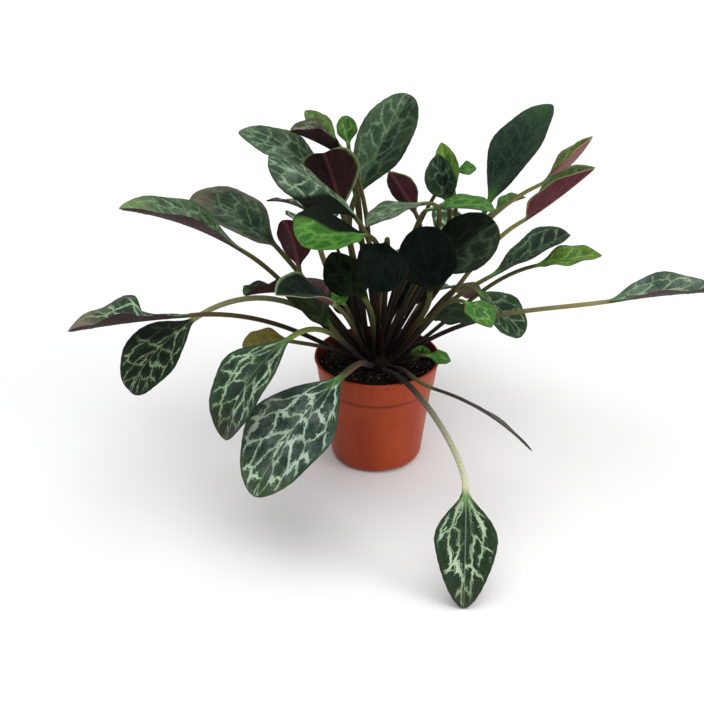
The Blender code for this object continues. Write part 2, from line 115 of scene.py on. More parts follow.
# Leaves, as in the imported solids
GAP = 0.3
ROOT_PITCH = 17.5
ROOT_LOWEST = 8.0
ROOT_ROUNDS = 400
ROOT_GROWTH = 1.5
ROOT_PUSH = 0.3
ROOT_PULL = 0.004
ROOT_LEAN = 0.8
STALK_MIN = 0.85
STALK_SHARE = 1 / 45
STALK_UP = 0.62
STALK_DOWN = 0.95
STRAIGHT = 4.0
LIFT = 0.3
LIFT_RISE = 0.1
TWIST_PACE = 1.3
BLADE_T = 0.7
BASE_TAPER = 1.3
BLADE_FROM = -0.08
BLADE_EASE = 0.2
FOLD_FROM = 0.3
CREASE = 0.16
RIB_DEPTH = 0.75
WAVES = 2.3
WAVE_LAG = 1.3
WAVE_IN = 0.35
WAVE_OUT = 0.3
PHASE_MIX = (0.37, 0.53)

# Finer steps and finer relief of the leaves
STALK_ROWS = 24
BLADE_ROWS = 64
SMALL_BLADE_ROWS = 36
SMALL_WIDTH = 19.0
AROUND = 56
EVEN_ACROSS = 0.6  # how evenly the steps lie across a blade
RIB_STEP = 0.01
ACROSS_STEP = 0.02
SUNK_ROOT = 2.0  # how far a petiole reaches into the crown
RIB_HALF = 0.9  # of the petiole's half width
GROOVE_DEPTH = 0.32
GROOVE_HALF = 0.7
MARGIN_THINS = 0.3
TIP_CLOSES = 0.04
SIDE_VEINS = 6.5
VEIN_LEAN = 0.45
VEIN_BEND = 0.2
VEIN_WIDTH = 0.13
VEIN_DOWN = 0.34
QUILT_UP = 0.16
UNDER_RELIEF = 0.8
TEETH_MM = 0.08
TEETH_PITCH = 4.6
TORN_LEAF = "left_low"
TORN_TO = 0.4  # its far half is torn away from the base to here
TORN_OVER = 0.015
TORN_LEFT = 0.38  # of the half's width

# Leaf markings: places along the leaf from -1 to 1, widths in millimetres, the network in meshes
BLADE_STARTS = (-0.03, 0.06)
PALER_FROM = (-0.62, 0.1)
CELL_MM = 4.0
CELL_SHARE = 0.23  # of the blade's half width
MESH_STRETCH = 1.2
SWEEP = 0.75
EVEN_SHARE = 0.45  # how far the meshes narrow with the blade
SEED_STEP = 1.37
SEED_SHIFT = 7.31
SIDE_SHIFT = 3.7
BEND = (1.2, 0.8)  # pace and reach
ROUGH_BEND = (6.0, 0.22)
FINE_SHIFT = (0.37, 0.21, 0.0)
FINE_SCALE = 3.0
ARC_PLACE = (0.45, 0.54)  # how far the two bands sway, and where they lie between midrib and margin
NET_WIDTH = (0.038, 0.020)  # what a swelling adds, and the least width
THORN_LENGTH = (0.07, 0.07)
NET_EDGE = 0.035
CLEAR_MARGIN = (0.8, 3.2)
RIB_LINE = (0.1, 0.5)
UNDER_RIB = (0.4, 1.2)
DARK_EDGE = (0.15, 0.7)
MOTTLE_SCALE = 230.0
FROST_SCALE = 75.0
PORE_SCALE = 1300.0
PORE_COLOUR = (0.0, 0.003, 0.003)
# SHADE_COLOUR is painted shade on one half of a blade
SHADE_COLOUR = (0.003, 0.006, 0.003)
EDGE_COLOUR = (0.022, 0.016, 0.011)

# Colours of the pot and the crown, and the pot's heights in millimetres where they change
PLASTIC_DEEP = (0.28, 0.032, 0.006)
PLASTIC_PALER = (0.36, 0.045, 0.008)
PLASTIC_SCUFFED = (0.41, 0.066, 0.015)
DUST_COLOUR = (0.09, 0.035, 0.02)
DUST_FROM = 30.0
DUST_TO = 62.0
# Painted shadow line and painted shade under the pot's band
SHADOW_LINE_COLOUR = (0.05, 0.010, 0.005)
SHADOW_LINE_DROP = 0.35
SHADE_FROM = 3.0
SHADE_TO = 0.5
# Painted shade on the pot's inner wall above the soil, from these heights up
INSIDE_SHADE_COLOUR = (0.045, 0.009, 0.004)
BARE_FROM = 52.0
BARE_TO = 53.5
BARK_DARK = (0.004, 0.003, 0.002)
BARK_LIGHT = (0.013, 0.008, 0.005)
BARK_GREEN = (0.030, 0.030, 0.012)

# Studio
FLOOR_HALF = 6.0
FLOOR_COLOUR = (0.87, 0.87, 0.87)
WORLD_COLOUR = (0.94, 0.97, 1.0)
WORLD_STRENGTH = 0.18
SENSOR_MM = 36.0
LENS_MM = 55.02
CAMERA_PLACE = (-0.014, -0.5238, 0.3557)
CAMERA_DOWN_DEG = 29.07
SUNS = (
    # name, direction towards the light, spread in degrees, strength, colour
    ("overhead", (0.10, 0.02, 1.0), 80, 2.85, (1.0, 1.0, 1.0)),
    ("front", (-0.25, -1.0, 0.3), 40, 0.48, (1.0, 1.0, 1.0)),
    ("right", (1.0, -0.45, 0.42), 24, 1.15, (1.0, 0.98, 0.95)),
)


class Leaf(NamedTuple):
    """One leaf. base is where its petiole meets the blade, face is the way the upper side looks."""

    name: str
    base: tuple
    tip: tuple
    width: float
    face: tuple
    fold: float = 28.0
    bow: float = 4.0
    wave: float = 0.8
    point: float = 0.75
    rise: float = 0.25
    lead: float = 0.36
    widest: float = 0.5
    taper: float = 2.0


LEAVES = (
    # The left side, from the lowest up
    Leaf(
        "left_low", (-100, -12, 94), (-163, -26, 91), 34, (0, 0.12, 1), 36, 1,
        wave=1.6, point=0.8, rise=0.6,
    ),
    Leaf(
        "left_hanging", (-102.5, 12, 79), (-139.5, -5, 42.5), 33, (-0.35, -0.8, 0.5), 14, 8,
        point=0.5, rise=2.4,
    ),
    Leaf("left_long", (-70, -8, 129), (-130, -22, 158), 34, (0, 0.02, 1), 32, point=0.7),
    Leaf(
        "left_back", (-56, 26, 117), (-103, 32, 142.5), 29, (0.1, -0.5, 0.9), 20, 8,
        point=0.5, widest=0.43,
    ),
    Leaf("left_dark", (-46, -12, 108), (-68, -38, 118), 22, (0.1, 0.75, 1), 36, 1),
    Leaf("left_yellow", (-47, -14, 79), (-72, -24, 80), 17, (0, -0.4, 1), 10, 3, point=0.5, rise=0.4),
    # The front
    Leaf(
        "front_left", (-45, -46, 98.5), (-78, -74, 55.5), 36, (-0.45, -0.5, 0.7), 20, 9,
        point=0.65, rise=0.7,
    ),
    Leaf(
        "front_big", (-18.5, -51, 79.5), (-62.5, -97, 37.5), 53, (-0.4, -0.4, 0.82), 8, 6,
        point=0.6, widest=0.52, taper=1.7,
    ),
    Leaf(
        "front_hanging", (41, -102, 45), (39, -136, 0.6), 31, (0, -0.8, 0.6), 10, 3,
        wave=0.6, point=0.6, rise=0.6, lead=0.2, widest=0.43, taper=1.3,
    ),
    Leaf(
        "front_edge_on", (28, -46, 69), (76, -80, 52), 24, (0.5, 0.36, 0.74), 4,
        wave=0.5, point=0.9, rise=0.5,
    ),
    Leaf("front_folded", (-23, -30, 109), (-51, -56, 127), 30, (0, -0.2, 1), 24, 3),
    Leaf(
        "front_bright", (-7.5, -28, 147), (-38, -56, 153), 36, (0, -0.38, 0.95), 24, 3,
        point=0.35, widest=0.66,
    ),
    Leaf("front_shaded", (3.4, -28.9, 142.8), (-4.5, -50, 127), 27, (0.1, -0.9, 0.3), 12, 5, point=0.4),
    Leaf("front_small", (44, -29, 110), (56, -46, 104), 17, (0.3, -0.6, 0.7), 14, 2, wave=0.5, point=0.8),
    Leaf("front_low", (-25, -16, 89), (-49, -25, 113), 25, (-0.3, -0.4, 0.9), 24, 3, point=0.65),
    Leaf("front_dark", (-8, -29, 112), (-24, -34, 140), 23, (-0.3, -0.9, 0.3), 14, 2, point=0.6),
    # The middle
    Leaf("middle_round", (27, -12, 107), (24, -10, 144), 32, (-0.1, -0.9, 0.3), 12, 3, point=0.45),
    Leaf("middle_broad", (25, -2, 113), (61, 0, 142), 30, (-0.3, -0.9, 0.3), 12, 3, point=0.5, widest=0.6),
    Leaf("middle_grey", (22, -16, 159), (-7, -38, 155), 24, (0, 0.2, 1), 12, 2, wave=0.6, point=0.85),
    Leaf(
        "middle_level", (25, 3, 148), (58, -13, 153), 22, (0, 0, 1), 22, 2,
        wave=0.5, point=0.6, rise=0.1, lead=0.1,
    ),
    Leaf("middle_purple", (20, 12, 142), (5, 6, 168), 16, (0.2, 0.95, 0.2), 20, 1, wave=0.5, point=1),
    Leaf("middle_dark", (37, 16, 147), (31, 18, 173), 20, (-0.3, -0.9, 0.3), 32, 2),
    Leaf("middle_tip", (41, 25, 148), (34, 37, 173), 13, (-0.1, -0.9, 0.3), 16, 2, point=0.8),
    Leaf(
        "middle_young", (43, 31, 159), (53, 30, 160.5), 9, (0, -0.6, 0.8), 14, 1,
        wave=0.4, point=0.9, lead=0.15,
    ),
    # The top
    Leaf("top_tall", (-12, 22, 148), (17, 40, 198), 30, (-0.3, -0.8, 0.5), 10, 3, point=0.5, widest=0.55),
    Leaf("top_bright", (-16, 32, 174), (-18, 36, 188), 12, (0.1, -0.8, 0.5), 20, 1, wave=0.4, point=0.6),
    Leaf(
        "top_small", (-22, 24, 177), (-39, 38, 190), 12, (-0.1, -0.5, 0.8), 16, 1,
        wave=0.4, point=0.8, lead=0.31,
    ),
    Leaf("top_brown", (-19, 6, 177), (-45, -2, 191.5), 27, (0, -0.02, 1), 42, 1, lead=0.2),
    Leaf("top_left", (-25, 15, 158.5), (-71.5, 4.5, 188.8), 23, (0.3, -0.5, 0.8), 14, 5, point=0.7),
    Leaf(
        "top_purple", (-19, -4, 150), (-28, -10, 183), 31, (-0.1, 0.85, 0.5), 20, 3,
        point=0.35, widest=0.6,
    ),
    Leaf("top_band", (-12, -11, 149), (-54, -31, 187), 30, (0.1, -0.5, 1), -27, point=0.5, widest=0.58),
    # The right side
    Leaf("right_far", (124, 0, 96), (182, -4, 104), 31, (0, 0.05, 1), 34, 1, point=0.65, rise=0.8),
    Leaf("right_bright", (91, 40, 99), (128, 36, 107), 20, (0, -0.25, 1), 24, 1, wave=1, point=0.9),
    Leaf("right_back", (65, 38, 93), (112, 56, 112), 27, (-0.1, -0.1, 1), 30, 0, point=0.5, widest=0.7),
    Leaf("right_drooping", (56, 18, 93.5), (82, 8, 71), 24, (0.3, -0.6, 0.7), 12, 2, point=0.5),
    Leaf("right_under", (28, -10, 91), (50, -16, 92), 22, (0, -0.2, 1), 20, 2),
    Leaf("right_tall", (59, 20, 144), (93, 43, 192), 31, (-0.6, -0.55, 0.45), 20, point=0.7),
    Leaf("right_pink", (85, 18, 156), (110, 14, 184), 24, (-0.78, 0.17, 0.6), 34, -3, wave=0.5, point=1),
    Leaf(
        "right_purple", (75, 8, 139), (107, -12, 176), 32, (-0.67, 0.32, 0.69), 45, -1,
        wave=0.6, point=0.9,
    ),
    Leaf("right_short", (65, 34, 135), (83, 44, 139), 14, (0, 0.1, 1), 30, 1, wave=0.5),
    Leaf("rim_young", (27, -12, 69), (40, -13, 66), 9, (0, -0.5, 0.8), 12, 1, wave=0.4, point=0.9),
    Leaf("rim_round", (23, -2, 63), (24, -6, 72), 12, (0.1, -0.95, 0.3), 8, 1, wave=0.3, point=0.6),
    # Between them
    Leaf("left_purple", (-43, 14, 110), (-51, 18, 136), 24, (0.3, 0.9, 0.3), 18, 3),
    Leaf("left_tip", (-38, 25, 139), (-61, 28, 143), 14, (0, 0.3, 1), 10, 2),
    Leaf("inner_left", (-9, 17, 76), (-21, 24, 100), 22, (-0.2, -0.9, 0.4), 12, 2, point=0.6),
    Leaf("inner_right", (11, 22, 80), (28, 36, 104), 24, (0.2, -0.9, 0.4), 12, 2, point=0.6),
    Leaf("inner_young", (-18, -8, 98), (-24, -14, 111), 10, (-0.3, -0.6, 0.7), 14, 1, wave=0.3, point=0.8),
    # The back, which the viewer doesn't see
    Leaf("back_left", (-34, 64, 104), (-42, 101, 102), 36, (0, 0.1, 1), 26, 5, point=0.6),
    Leaf("back_middle", (6, 70, 82), (10, 118, 70), 42, (0, 0.1, 1), 24, 6, point=0.6),
    Leaf("back_right", (39, 70, 100.5), (63, 106, 98.5), 38, (0, 0.1, 1), 28, 5, point=0.6),
    Leaf("back_hanging", (-24, 56, 80), (-34, 88, 48), 38, (0, 0.6, 0.7), 16, 6, point=0.6),
    Leaf("back_low", (34, 50, 78), (58, 84, 56), 34, (0.3, 0.6, 0.7), 18, 5, point=0.6),
)


class Look(NamedTuple):
    """The colours of one leaf and how its pale network runs."""

    silver: float = 0.8  # how strong the network is
    band: float = 1.0  # how wide its lines are
    mesh: float = 1.0  # how wide its meshes are
    arcs: float = 0.7  # how much of it runs in two long bands along the margins
    patch: tuple = (0.014, 0.032, 0.021)
    green: tuple = (0.026, 0.078, 0.024)
    pale: tuple = (0.46, 0.60, 0.42)
    heart: tuple = (0.075, 0.20, 0.035)
    under: tuple = (0.032, 0.005, 0.009)
    under_rib: tuple = (0.13, 0.035, 0.035)
    stalk: tuple = (0.11, 0.105, 0.032)
    # the root colour is partly the petiole's own and partly painted shade under the leaves
    root: tuple = (0.011, 0.005, 0.0035)
    rim: tuple = (0.20, 0.33, 0.14)
    rim_width: float = 0.0  # of a pale margin, in millimetres; without one the margin is thin and dark
    tip: tuple = (0.16, 0.15, 0.07)
    tipped: float = 0.0  # how far the tip has turned to its own colour
    frost: float = 0.0  # how much pale cloud lies on the upper side: partly silvery down, partly painted sheen
    dark_half: float = 0.0  # how much painted shade darkens the half right of the midrib, below 0 the left half
    dark_to: float = 0.7  # where along the blade the painted shade has half faded
    sheen: float = 0.05  # how much the fine hairs catch light from the side
    gloss: float = 0.14  # how strongly the surface mirrors light


LEAF_NUMBERS = (
    "Seed", "Length", "Half", "Cell", "Band", "Silver", "Arcs",
    "Rim Width", "Tipped", "Frost", "Dark Half", "Dark To",
)
LEAF_COLOURS = ("Patch", "Green", "Pale", "Heart", "Under", "Under Rib", "Stalk", "Root", "Rim", "Tip")

YOUNG = Look(
    silver=0.5, patch=(0.035, 0.13, 0.018), green=(0.07, 0.23, 0.030), pale=(0.26, 0.46, 0.13),
    heart=(0.14, 0.34, 0.06), under=(0.06, 0.13, 0.03), under_rib=(0.12, 0.20, 0.06),
)
# Painted shade: near-black colours for leaves that hang in the shade of the leaves above
SHADED = Look(
    silver=0.015, patch=(0.003, 0.0045, 0.0032), green=(0.0045, 0.009, 0.005), pale=(0.08, 0.11, 0.07),
    heart=(0.010, 0.018, 0.006), sheen=0.0, gloss=0.03,
)
# Painted shade as in SHADED, browner, for the leaves deep inside the plant
INNER = SHADED._replace(green=(0.011, 0.014, 0.006), under=(0.018, 0.008, 0.007), stalk=(0.04, 0.03, 0.012))
# dark_half paints shade on one half of a blade, where the leaves above would shade it
LOOKS = {
    "left_low": Look(
        silver=0.95, arcs=0.4, under=(0.012, 0.004, 0.005), stalk=(0.13, 0.10, 0.035),
        tip=(0.20, 0.17, 0.12), tipped=0.9, frost=0.2, gloss=0.08,
    ),
    "left_hanging": Look(
        band=0.8, patch=(0.007, 0.014, 0.007), green=(0.020, 0.050, 0.016),
        pale=(0.36, 0.48, 0.28), heart=(0.015, 0.04, 0.012), stalk=(0.40, 0.41, 0.20), dark_half=0.85,
        dark_to=0.45, gloss=0.1,
    ),
    "left_long": Look(
        silver=0.36, band=0.6, mesh=0.9, patch=(0.028, 0.055, 0.026), green=(0.05, 0.12, 0.035),
        under=(0.018, 0.0035, 0.006), tip=(0.20, 0.30, 0.09), tipped=0.45, frost=0.22, gloss=0.1,
    ),
    "left_back": Look(
        silver=0.25, band=0.5, patch=(0.016, 0.034, 0.020), heart=(0.008, 0.022, 0.010),
        rim=(0.15, 0.11, 0.09), rim_width=3.0, tip=(0.15, 0.12, 0.085), tipped=0.7, frost=0.12, gloss=0.1,
    ),
    "left_dark": Look(
        silver=0.05, patch=(0.005, 0.012, 0.006), green=(0.015, 0.035, 0.012), under=(0.010, 0.0035, 0.004),
        tip=(0.06, 0.11, 0.05), tipped=0.7, gloss=0.06,
    ),
    "left_yellow": Look(
        silver=0.1, patch=(0.19, 0.155, 0.02), green=(0.23, 0.20, 0.03), heart=(0.22, 0.22, 0.04),
        under=(0.20, 0.15, 0.03),
    ),
    "front_left": Look(
        silver=0.95, band=0.95, arcs=1.0, green=(0.030, 0.085, 0.027), stalk=(0.24, 0.30, 0.065),
        tip=(0.028, 0.026, 0.014), tipped=0.7, frost=0.05,
    ),
    "front_big": Look(
        silver=1.0, band=1.15, mesh=1.05, arcs=0.35, patch=(0.022, 0.045, 0.036), pale=(0.60, 0.72, 0.60),
        stalk=(0.10, 0.065, 0.03), tip=(0.16, 0.24, 0.06), tipped=0.15, frost=0.16,
    ),
    "front_hanging": Look(
        silver=1.0, band=0.85, mesh=1.45, arcs=1.0, patch=(0.013, 0.027, 0.013),
        green=(0.022, 0.058, 0.018), pale=(0.50, 0.60, 0.44), heart=(0.13, 0.28, 0.06),
        stalk=(0.70, 0.69, 0.45), tip=(0.03, 0.04, 0.016), tipped=0.5,
    ),
    "front_folded": Look(
        silver=0.02, patch=(0.003, 0.011, 0.006), green=(0.008, 0.024, 0.010), under=(0.10, 0.018, 0.03),
        rim=(0.26, 0.36, 0.18), rim_width=2.4, gloss=0.1,
    ),
    "front_low": Look(
        silver=0.03, patch=(0.010, 0.016, 0.005), green=(0.025, 0.042, 0.010), sheen=0.0, gloss=0.1,
    ),
    # Painted shade, as in SHADED
    "front_dark": SHADED._replace(green=(0.010, 0.022, 0.006), stalk=(0.09, 0.11, 0.03)),
    "front_edge_on": Look(
        silver=0.1, patch=(0.012, 0.018, 0.008), green=(0.030, 0.040, 0.012), under=(0.03, 0.02, 0.012),
        stalk=(0.14, 0.15, 0.04),
    ),
    "front_bright": YOUNG._replace(
        silver=0.2, frost=0.12, dark_half=1.0, dark_to=0.65, sheen=0.0, gloss=0.06,
    ),
    "front_small": YOUNG._replace(rim=(0.10, 0.06, 0.03), rim_width=0.8),
    "front_shaded": SHADED,
    "middle_round": SHADED,
    "middle_broad": SHADED._replace(
        silver=0.12, band=1.2, mesh=1.4, patch=(0.020, 0.030, 0.018), green=(0.032, 0.050, 0.026),
        pale=(0.30, 0.38, 0.28), dark_half=-0.85, dark_to=1.3,
    ),
    "middle_grey": Look(silver=0.35, patch=(0.045, 0.075, 0.040), green=(0.07, 0.13, 0.05), frost=0.15),
    "middle_level": YOUNG._replace(silver=0.25),
    "middle_dark": Look(
        silver=0.25, band=0.8, patch=(0.012, 0.022, 0.014), rim=(0.05, 0.08, 0.03), rim_width=1.0,
    ),
    "middle_tip": YOUNG._replace(patch=(0.09, 0.22, 0.02), green=(0.13, 0.30, 0.03)),
    "middle_young": YOUNG,
    "middle_purple": Look(rim=(0.20, 0.25, 0.10), rim_width=1.0),
    "top_tall": Look(
        silver=0.4, band=0.75, patch=(0.029, 0.060, 0.033), green=(0.048, 0.105, 0.042),
        pale=(0.34, 0.48, 0.31), frost=0.2, dark_half=0.5, dark_to=1.3, gloss=0.08,
    ),
    "top_left": Look(
        silver=0.48, band=0.9, patch=(0.034, 0.066, 0.036), green=(0.058, 0.118, 0.048),
        pale=(0.38, 0.52, 0.36), frost=0.18, gloss=0.08,
    ),
    "top_band": Look(
        silver=0.5, arcs=0.3, patch=(0.022, 0.048, 0.030), green=(0.044, 0.090, 0.042),
        heart=(0.16, 0.24, 0.14), frost=0.2, dark_half=-1.0, dark_to=0.55, sheen=0.0, gloss=0.08,
    ),
    "top_brown": Look(
        silver=0.3, patch=(0.06, 0.05, 0.03), green=(0.075, 0.085, 0.035), under=(0.012, 0.004, 0.005),
    ),
    "top_purple": Look(
        under=(0.009, 0.003, 0.003), under_rib=(0.10, 0.025, 0.025), rim=(0.16, 0.24, 0.09), rim_width=2.4,
        gloss=0.08,
    ),
    "top_bright": YOUNG._replace(patch=(0.05, 0.13, 0.02)),
    "top_small": YOUNG._replace(silver=0.35, patch=(0.08, 0.15, 0.03), green=(0.12, 0.22, 0.05)),
    "right_far": Look(
        silver=0.65, band=0.8, patch=(0.034, 0.068, 0.048), green=(0.048, 0.10, 0.055),
        stalk=(0.34, 0.31, 0.12), frost=0.22,
    ),
    "right_tall": Look(
        silver=0.04, band=0.5, mesh=0.8, patch=(0.010, 0.028, 0.017), green=(0.018, 0.046, 0.021),
        rim=(0.09, 0.035, 0.03), rim_width=0.7, tip=(0.035, 0.10, 0.03), tipped=0.5, frost=0.04, gloss=0.08,
    ),
    "right_short": YOUNG._replace(patch=(0.06, 0.13, 0.03), under=(0.14, 0.04, 0.04)),
    "right_pink": Look(
        silver=0.2, patch=(0.13, 0.17, 0.04), green=(0.19, 0.26, 0.07), under=(0.21, 0.070, 0.068),
        under_rib=(0.40, 0.20, 0.16), stalk=(0.32, 0.31, 0.10), rim=(0.24, 0.28, 0.12), rim_width=1.2,
    ),
    "right_purple": Look(
        silver=0.2, patch=(0.09, 0.15, 0.04), green=(0.14, 0.22, 0.06), under=(0.072, 0.010, 0.016),
        under_rib=(0.24, 0.07, 0.075), stalk=(0.32, 0.31, 0.10), rim=(0.22, 0.26, 0.11), rim_width=1.6,
        gloss=0.08,
    ),
    "right_bright": YOUNG._replace(
        patch=(0.08, 0.20, 0.02), green=(0.15, 0.30, 0.04), pale=(0.40, 0.50, 0.15),
    ),
    "right_back": Look(silver=0.28, band=0.6, patch=(0.006, 0.016, 0.009), gloss=0.12),
    "right_under": Look(silver=0.02, patch=(0.008, 0.018, 0.006), green=(0.015, 0.035, 0.010), gloss=0.08),
    "right_drooping": Look(silver=0.4, band=0.65, patch=(0.010, 0.026, 0.011)),
    "rim_young": YOUNG,
    "rim_round": YOUNG._replace(patch=(0.03, 0.10, 0.015)),
    "inner_left": INNER,
    "inner_right": INNER,
    "inner_young": YOUNG,
}


def smooth(t):
    t = min(1.0, max(0.0, t))
    return t * t * (3 - 2 * t)


def bell(x):
    return math.exp(-x * x)


def bezier(points, t):
    while len(points) > 1:
        points = [a.lerp(b, t) for a, b in zip(points, points[1:])]
    return points[0]


# Nodes


class Wires:
    """Places nodes in one tree and joins them. A value that isn't a socket is set on the node's own input."""

    def __init__(self, tree):
        self.tree = tree

    def put(self, socket, value):
        if isinstance(value, bpy.types.NodeSocket):
            self.tree.links.new(value, socket)
        else:
            socket.default_value = value

    def node(self, kind, inputs=(), **settings):
        made = self.tree.nodes.new(kind)
        for key, value in settings.items():
            setattr(made, key, value)
        for key, value in dict(inputs).items():
            self.put(made.inputs[key], value)
        return made

    def operate(self, kind, operation, values):
        made = self.node(kind, operation=operation)
        for socket, value in zip(made.inputs, values):
            self.put(socket, value)
        return made.outputs[0]

    def math(self, operation, *values):
        return self.operate("ShaderNodeMath", operation, values)

    def vector(self, operation, *values):
        return self.operate("ShaderNodeVectorMath", operation, values)

    def plus(self, first, second):
        return self.math("ADD", first, second)

    def minus(self, first, second):
        return self.math("SUBTRACT", first, second)

    def times(self, first, second):
        return self.math("MULTIPLY", first, second)

    def scaled(self, value, factor, offset):
        """value times factor, plus offset."""
        return self.math("MULTIPLY_ADD", value, factor, offset)

    def most(self, first, second):
        return self.math("MAXIMUM", first, second)

    def least(self, first, second):
        return self.math("MINIMUM", first, second)

    def ramp(self, value, start, end, low=0.0, high=1.0):
        """A soft step from low to high as value goes from start to end."""
        inputs = {"Value": value, "From Min": start, "From Max": end, "To Min": low, "To Max": high}
        return self.node("ShaderNodeMapRange", inputs, interpolation_type="SMOOTHSTEP").outputs[0]

    def fall(self, value, start, end, high=1.0):
        """A soft step from high down to 0 as value goes from start to end."""
        return self.ramp(value, start, end, high, 0.0)

    def mix(self, share, first, second):
        made = self.node("ShaderNodeMix", data_type="RGBA", blend_type="MIX")
        colours = [s for s in made.inputs if s.type == "RGBA"]
        self.put(made.inputs["Factor"], share)
        self.put(colours[0], first)
        self.put(colours[1], second)
        return next(s for s in made.outputs if s.type == "RGBA")

    def noise(self, place, scale, detail=2.0, roughness=0.5, output="Fac"):
        inputs = {"Vector": place, "Scale": scale, "Detail": detail, "Roughness": roughness}
        return self.node("ShaderNodeTexNoise", inputs, noise_dimensions="3D").outputs[output]

    def wander(self, place, scale, reach):
        """An offset in X and Y that wanders from place to place."""
        centred = self.vector("SUBTRACT", self.noise(place, scale, output="Color"), (0.5, 0.5, 0.5))
        return self.vector("MULTIPLY", centred, (reach, reach, 0.0))

    def cells(self, place, scale, feature="DISTANCE_TO_EDGE", randomness=1.0, dimensions="2D"):
        inputs = {"Vector": place, "Scale": scale}
        made = self.node("ShaderNodeTexVoronoi", inputs, voronoi_dimensions=dimensions, feature=feature)
        self.put(made.inputs["Randomness"], randomness)
        return made.outputs["Distance"]

    def join(self, x, y, z=0.0):
        return self.node("ShaderNodeCombineXYZ", {"X": x, "Y": y, "Z": z}).outputs[0]

    def split(self, vector):
        return self.node("ShaderNodeSeparateXYZ", {"Vector": vector}).outputs

    def attribute(self, name):
        return self.node("ShaderNodeAttribute", attribute_name=name).outputs["Fac"]

    def object_place(self):
        return self.node("ShaderNodeTexCoord").outputs["Object"]


def rgba(colour):
    return (*colour, 1.0)


def new_group(name, inputs, outputs):
    """An empty node group with its sockets. Each socket is (name, kind, value)."""
    group = bpy.data.node_groups.new(name, "ShaderNodeTree")
    for label, kind, value in inputs:
        socket = group.interface.new_socket(label, in_out="INPUT", socket_type="NodeSocket" + kind)
        socket.default_value = value
    for label, kind in outputs:
        group.interface.new_socket(label, in_out="OUTPUT", socket_type="NodeSocket" + kind)
    return group


def leaf_spot(w):
    """Where a point lies on its leaf, as sockets, and the grain of the leaf there."""
    place = w.split(w.node("ShaderNodeUVMap", uv_map="leaf").outputs[0])
    at = SimpleNamespace()
    at.along = w.scaled(place[0], 2.0, -1.0)
    at.signed = w.scaled(place[1], 2.0, -1.0)
    at.across = w.math("ABSOLUTE", at.signed)
    at.half_mm = w.attribute("half_mm")
    at.from_rib_mm = w.times(at.across, at.half_mm)
    at.from_margin_mm = w.minus(at.half_mm, at.from_rib_mm)
    at.blade = w.ramp(at.along, *BLADE_STARTS)
    solid = w.object_place()
    at.mottle = w.noise(solid, MOTTLE_SCALE, 3.0, 0.6)
    at.clouds = w.noise(solid, FROST_SCALE, 4.0, 0.7)
    at.pores = w.cells(solid, PORE_SCALE, "F1", dimensions="3D")
    return at


def leaf_network(w, given, at):
    """The pale network. It adds to the spot: main and near, the distances to it, and swell and silver."""
    # The network's own coordinates sweep forward, so that its meshes run out along the side veins.
    even_mm = w.times(at.across, given["Half"])
    out_mm = w.plus(w.times(at.from_rib_mm, 1 - EVEN_SHARE), w.times(even_mm, EVEN_SHARE))
    swept_mm = w.scaled(out_mm, -SWEEP, w.times(at.along, given["Length"]))
    side = w.times(w.math("SIGN", at.signed), SIDE_SHIFT)
    start = w.scaled(given["Seed"], SEED_SHIFT, side)
    net_x = w.plus(w.math("DIVIDE", swept_mm, w.times(given["Cell"], MESH_STRETCH)), start)
    net_y = w.plus(w.math("DIVIDE", out_mm, given["Cell"]), start)
    flat = w.join(net_x, net_y)
    bend = w.wander(flat, *BEND)
    bent = w.vector("ADD", w.vector("ADD", flat, bend), w.wander(flat, *ROUGH_BEND))
    at.main = w.cells(bent, 1.0, randomness=0.75)
    fine = w.cells(w.vector("ADD", bent, FINE_SHIFT), FINE_SCALE)

    # Two long bands run from the base along the margins and die out towards the tip.
    sway = w.scaled(w.split(bend)[0], *ARC_PLACE)
    from_arc = w.math("ABSOLUTE", w.minus(at.across, sway))
    from_arc = w.math("DIVIDE", w.times(from_arc, at.half_mm), given["Cell"])
    late = w.plus(w.ramp(at.along, 0.55, 0.9), w.minus(1.0, given["Arcs"]))
    at.near = w.least(at.main, w.plus(from_arc, w.times(late, 0.3)))

    # Bands swell and fade, and thorns run out from them where a finer mesh meets them.
    at.swell = w.ramp(w.noise(flat, 1.0, 1.0), 0.32, 0.68)
    width = w.times(w.scaled(at.swell, *NET_WIDTH), given["Band"])
    thorn = w.times(w.fall(fine, 0.0, 0.07), w.scaled(at.swell, *THORN_LENGTH))
    reach = w.plus(width, w.times(thorn, given["Band"]))
    net = w.fall(w.minus(at.near, reach), 0.0, NET_EDGE)
    hair = w.times(w.fall(fine, 0.0, 0.05), 0.16)
    net = w.most(net, w.times(hair, w.ramp(at.near, 0.1, 0.35, 1.0, 0.3)))
    net = w.times(net, w.ramp(at.from_margin_mm, *CLEAR_MARGIN))
    by_rib = w.times(w.fall(at.across, 0.12, 0.34), w.fall(at.along, 0.4, 0.65))
    by_rib = w.times(by_rib, w.ramp(given["Arcs"], 0.7, 1.0))
    net = w.times(net, w.minus(1.0, by_rib))
    net = w.times(net, w.scaled(at.swell, 0.25, 0.75))
    rib_line = w.times(w.fall(at.from_rib_mm, *RIB_LINE), w.ramp(at.along, 0.3, 0.9, 0.3, 0.4))
    at.silver = w.times(w.most(net, rib_line), w.times(given["Silver"], at.blade))


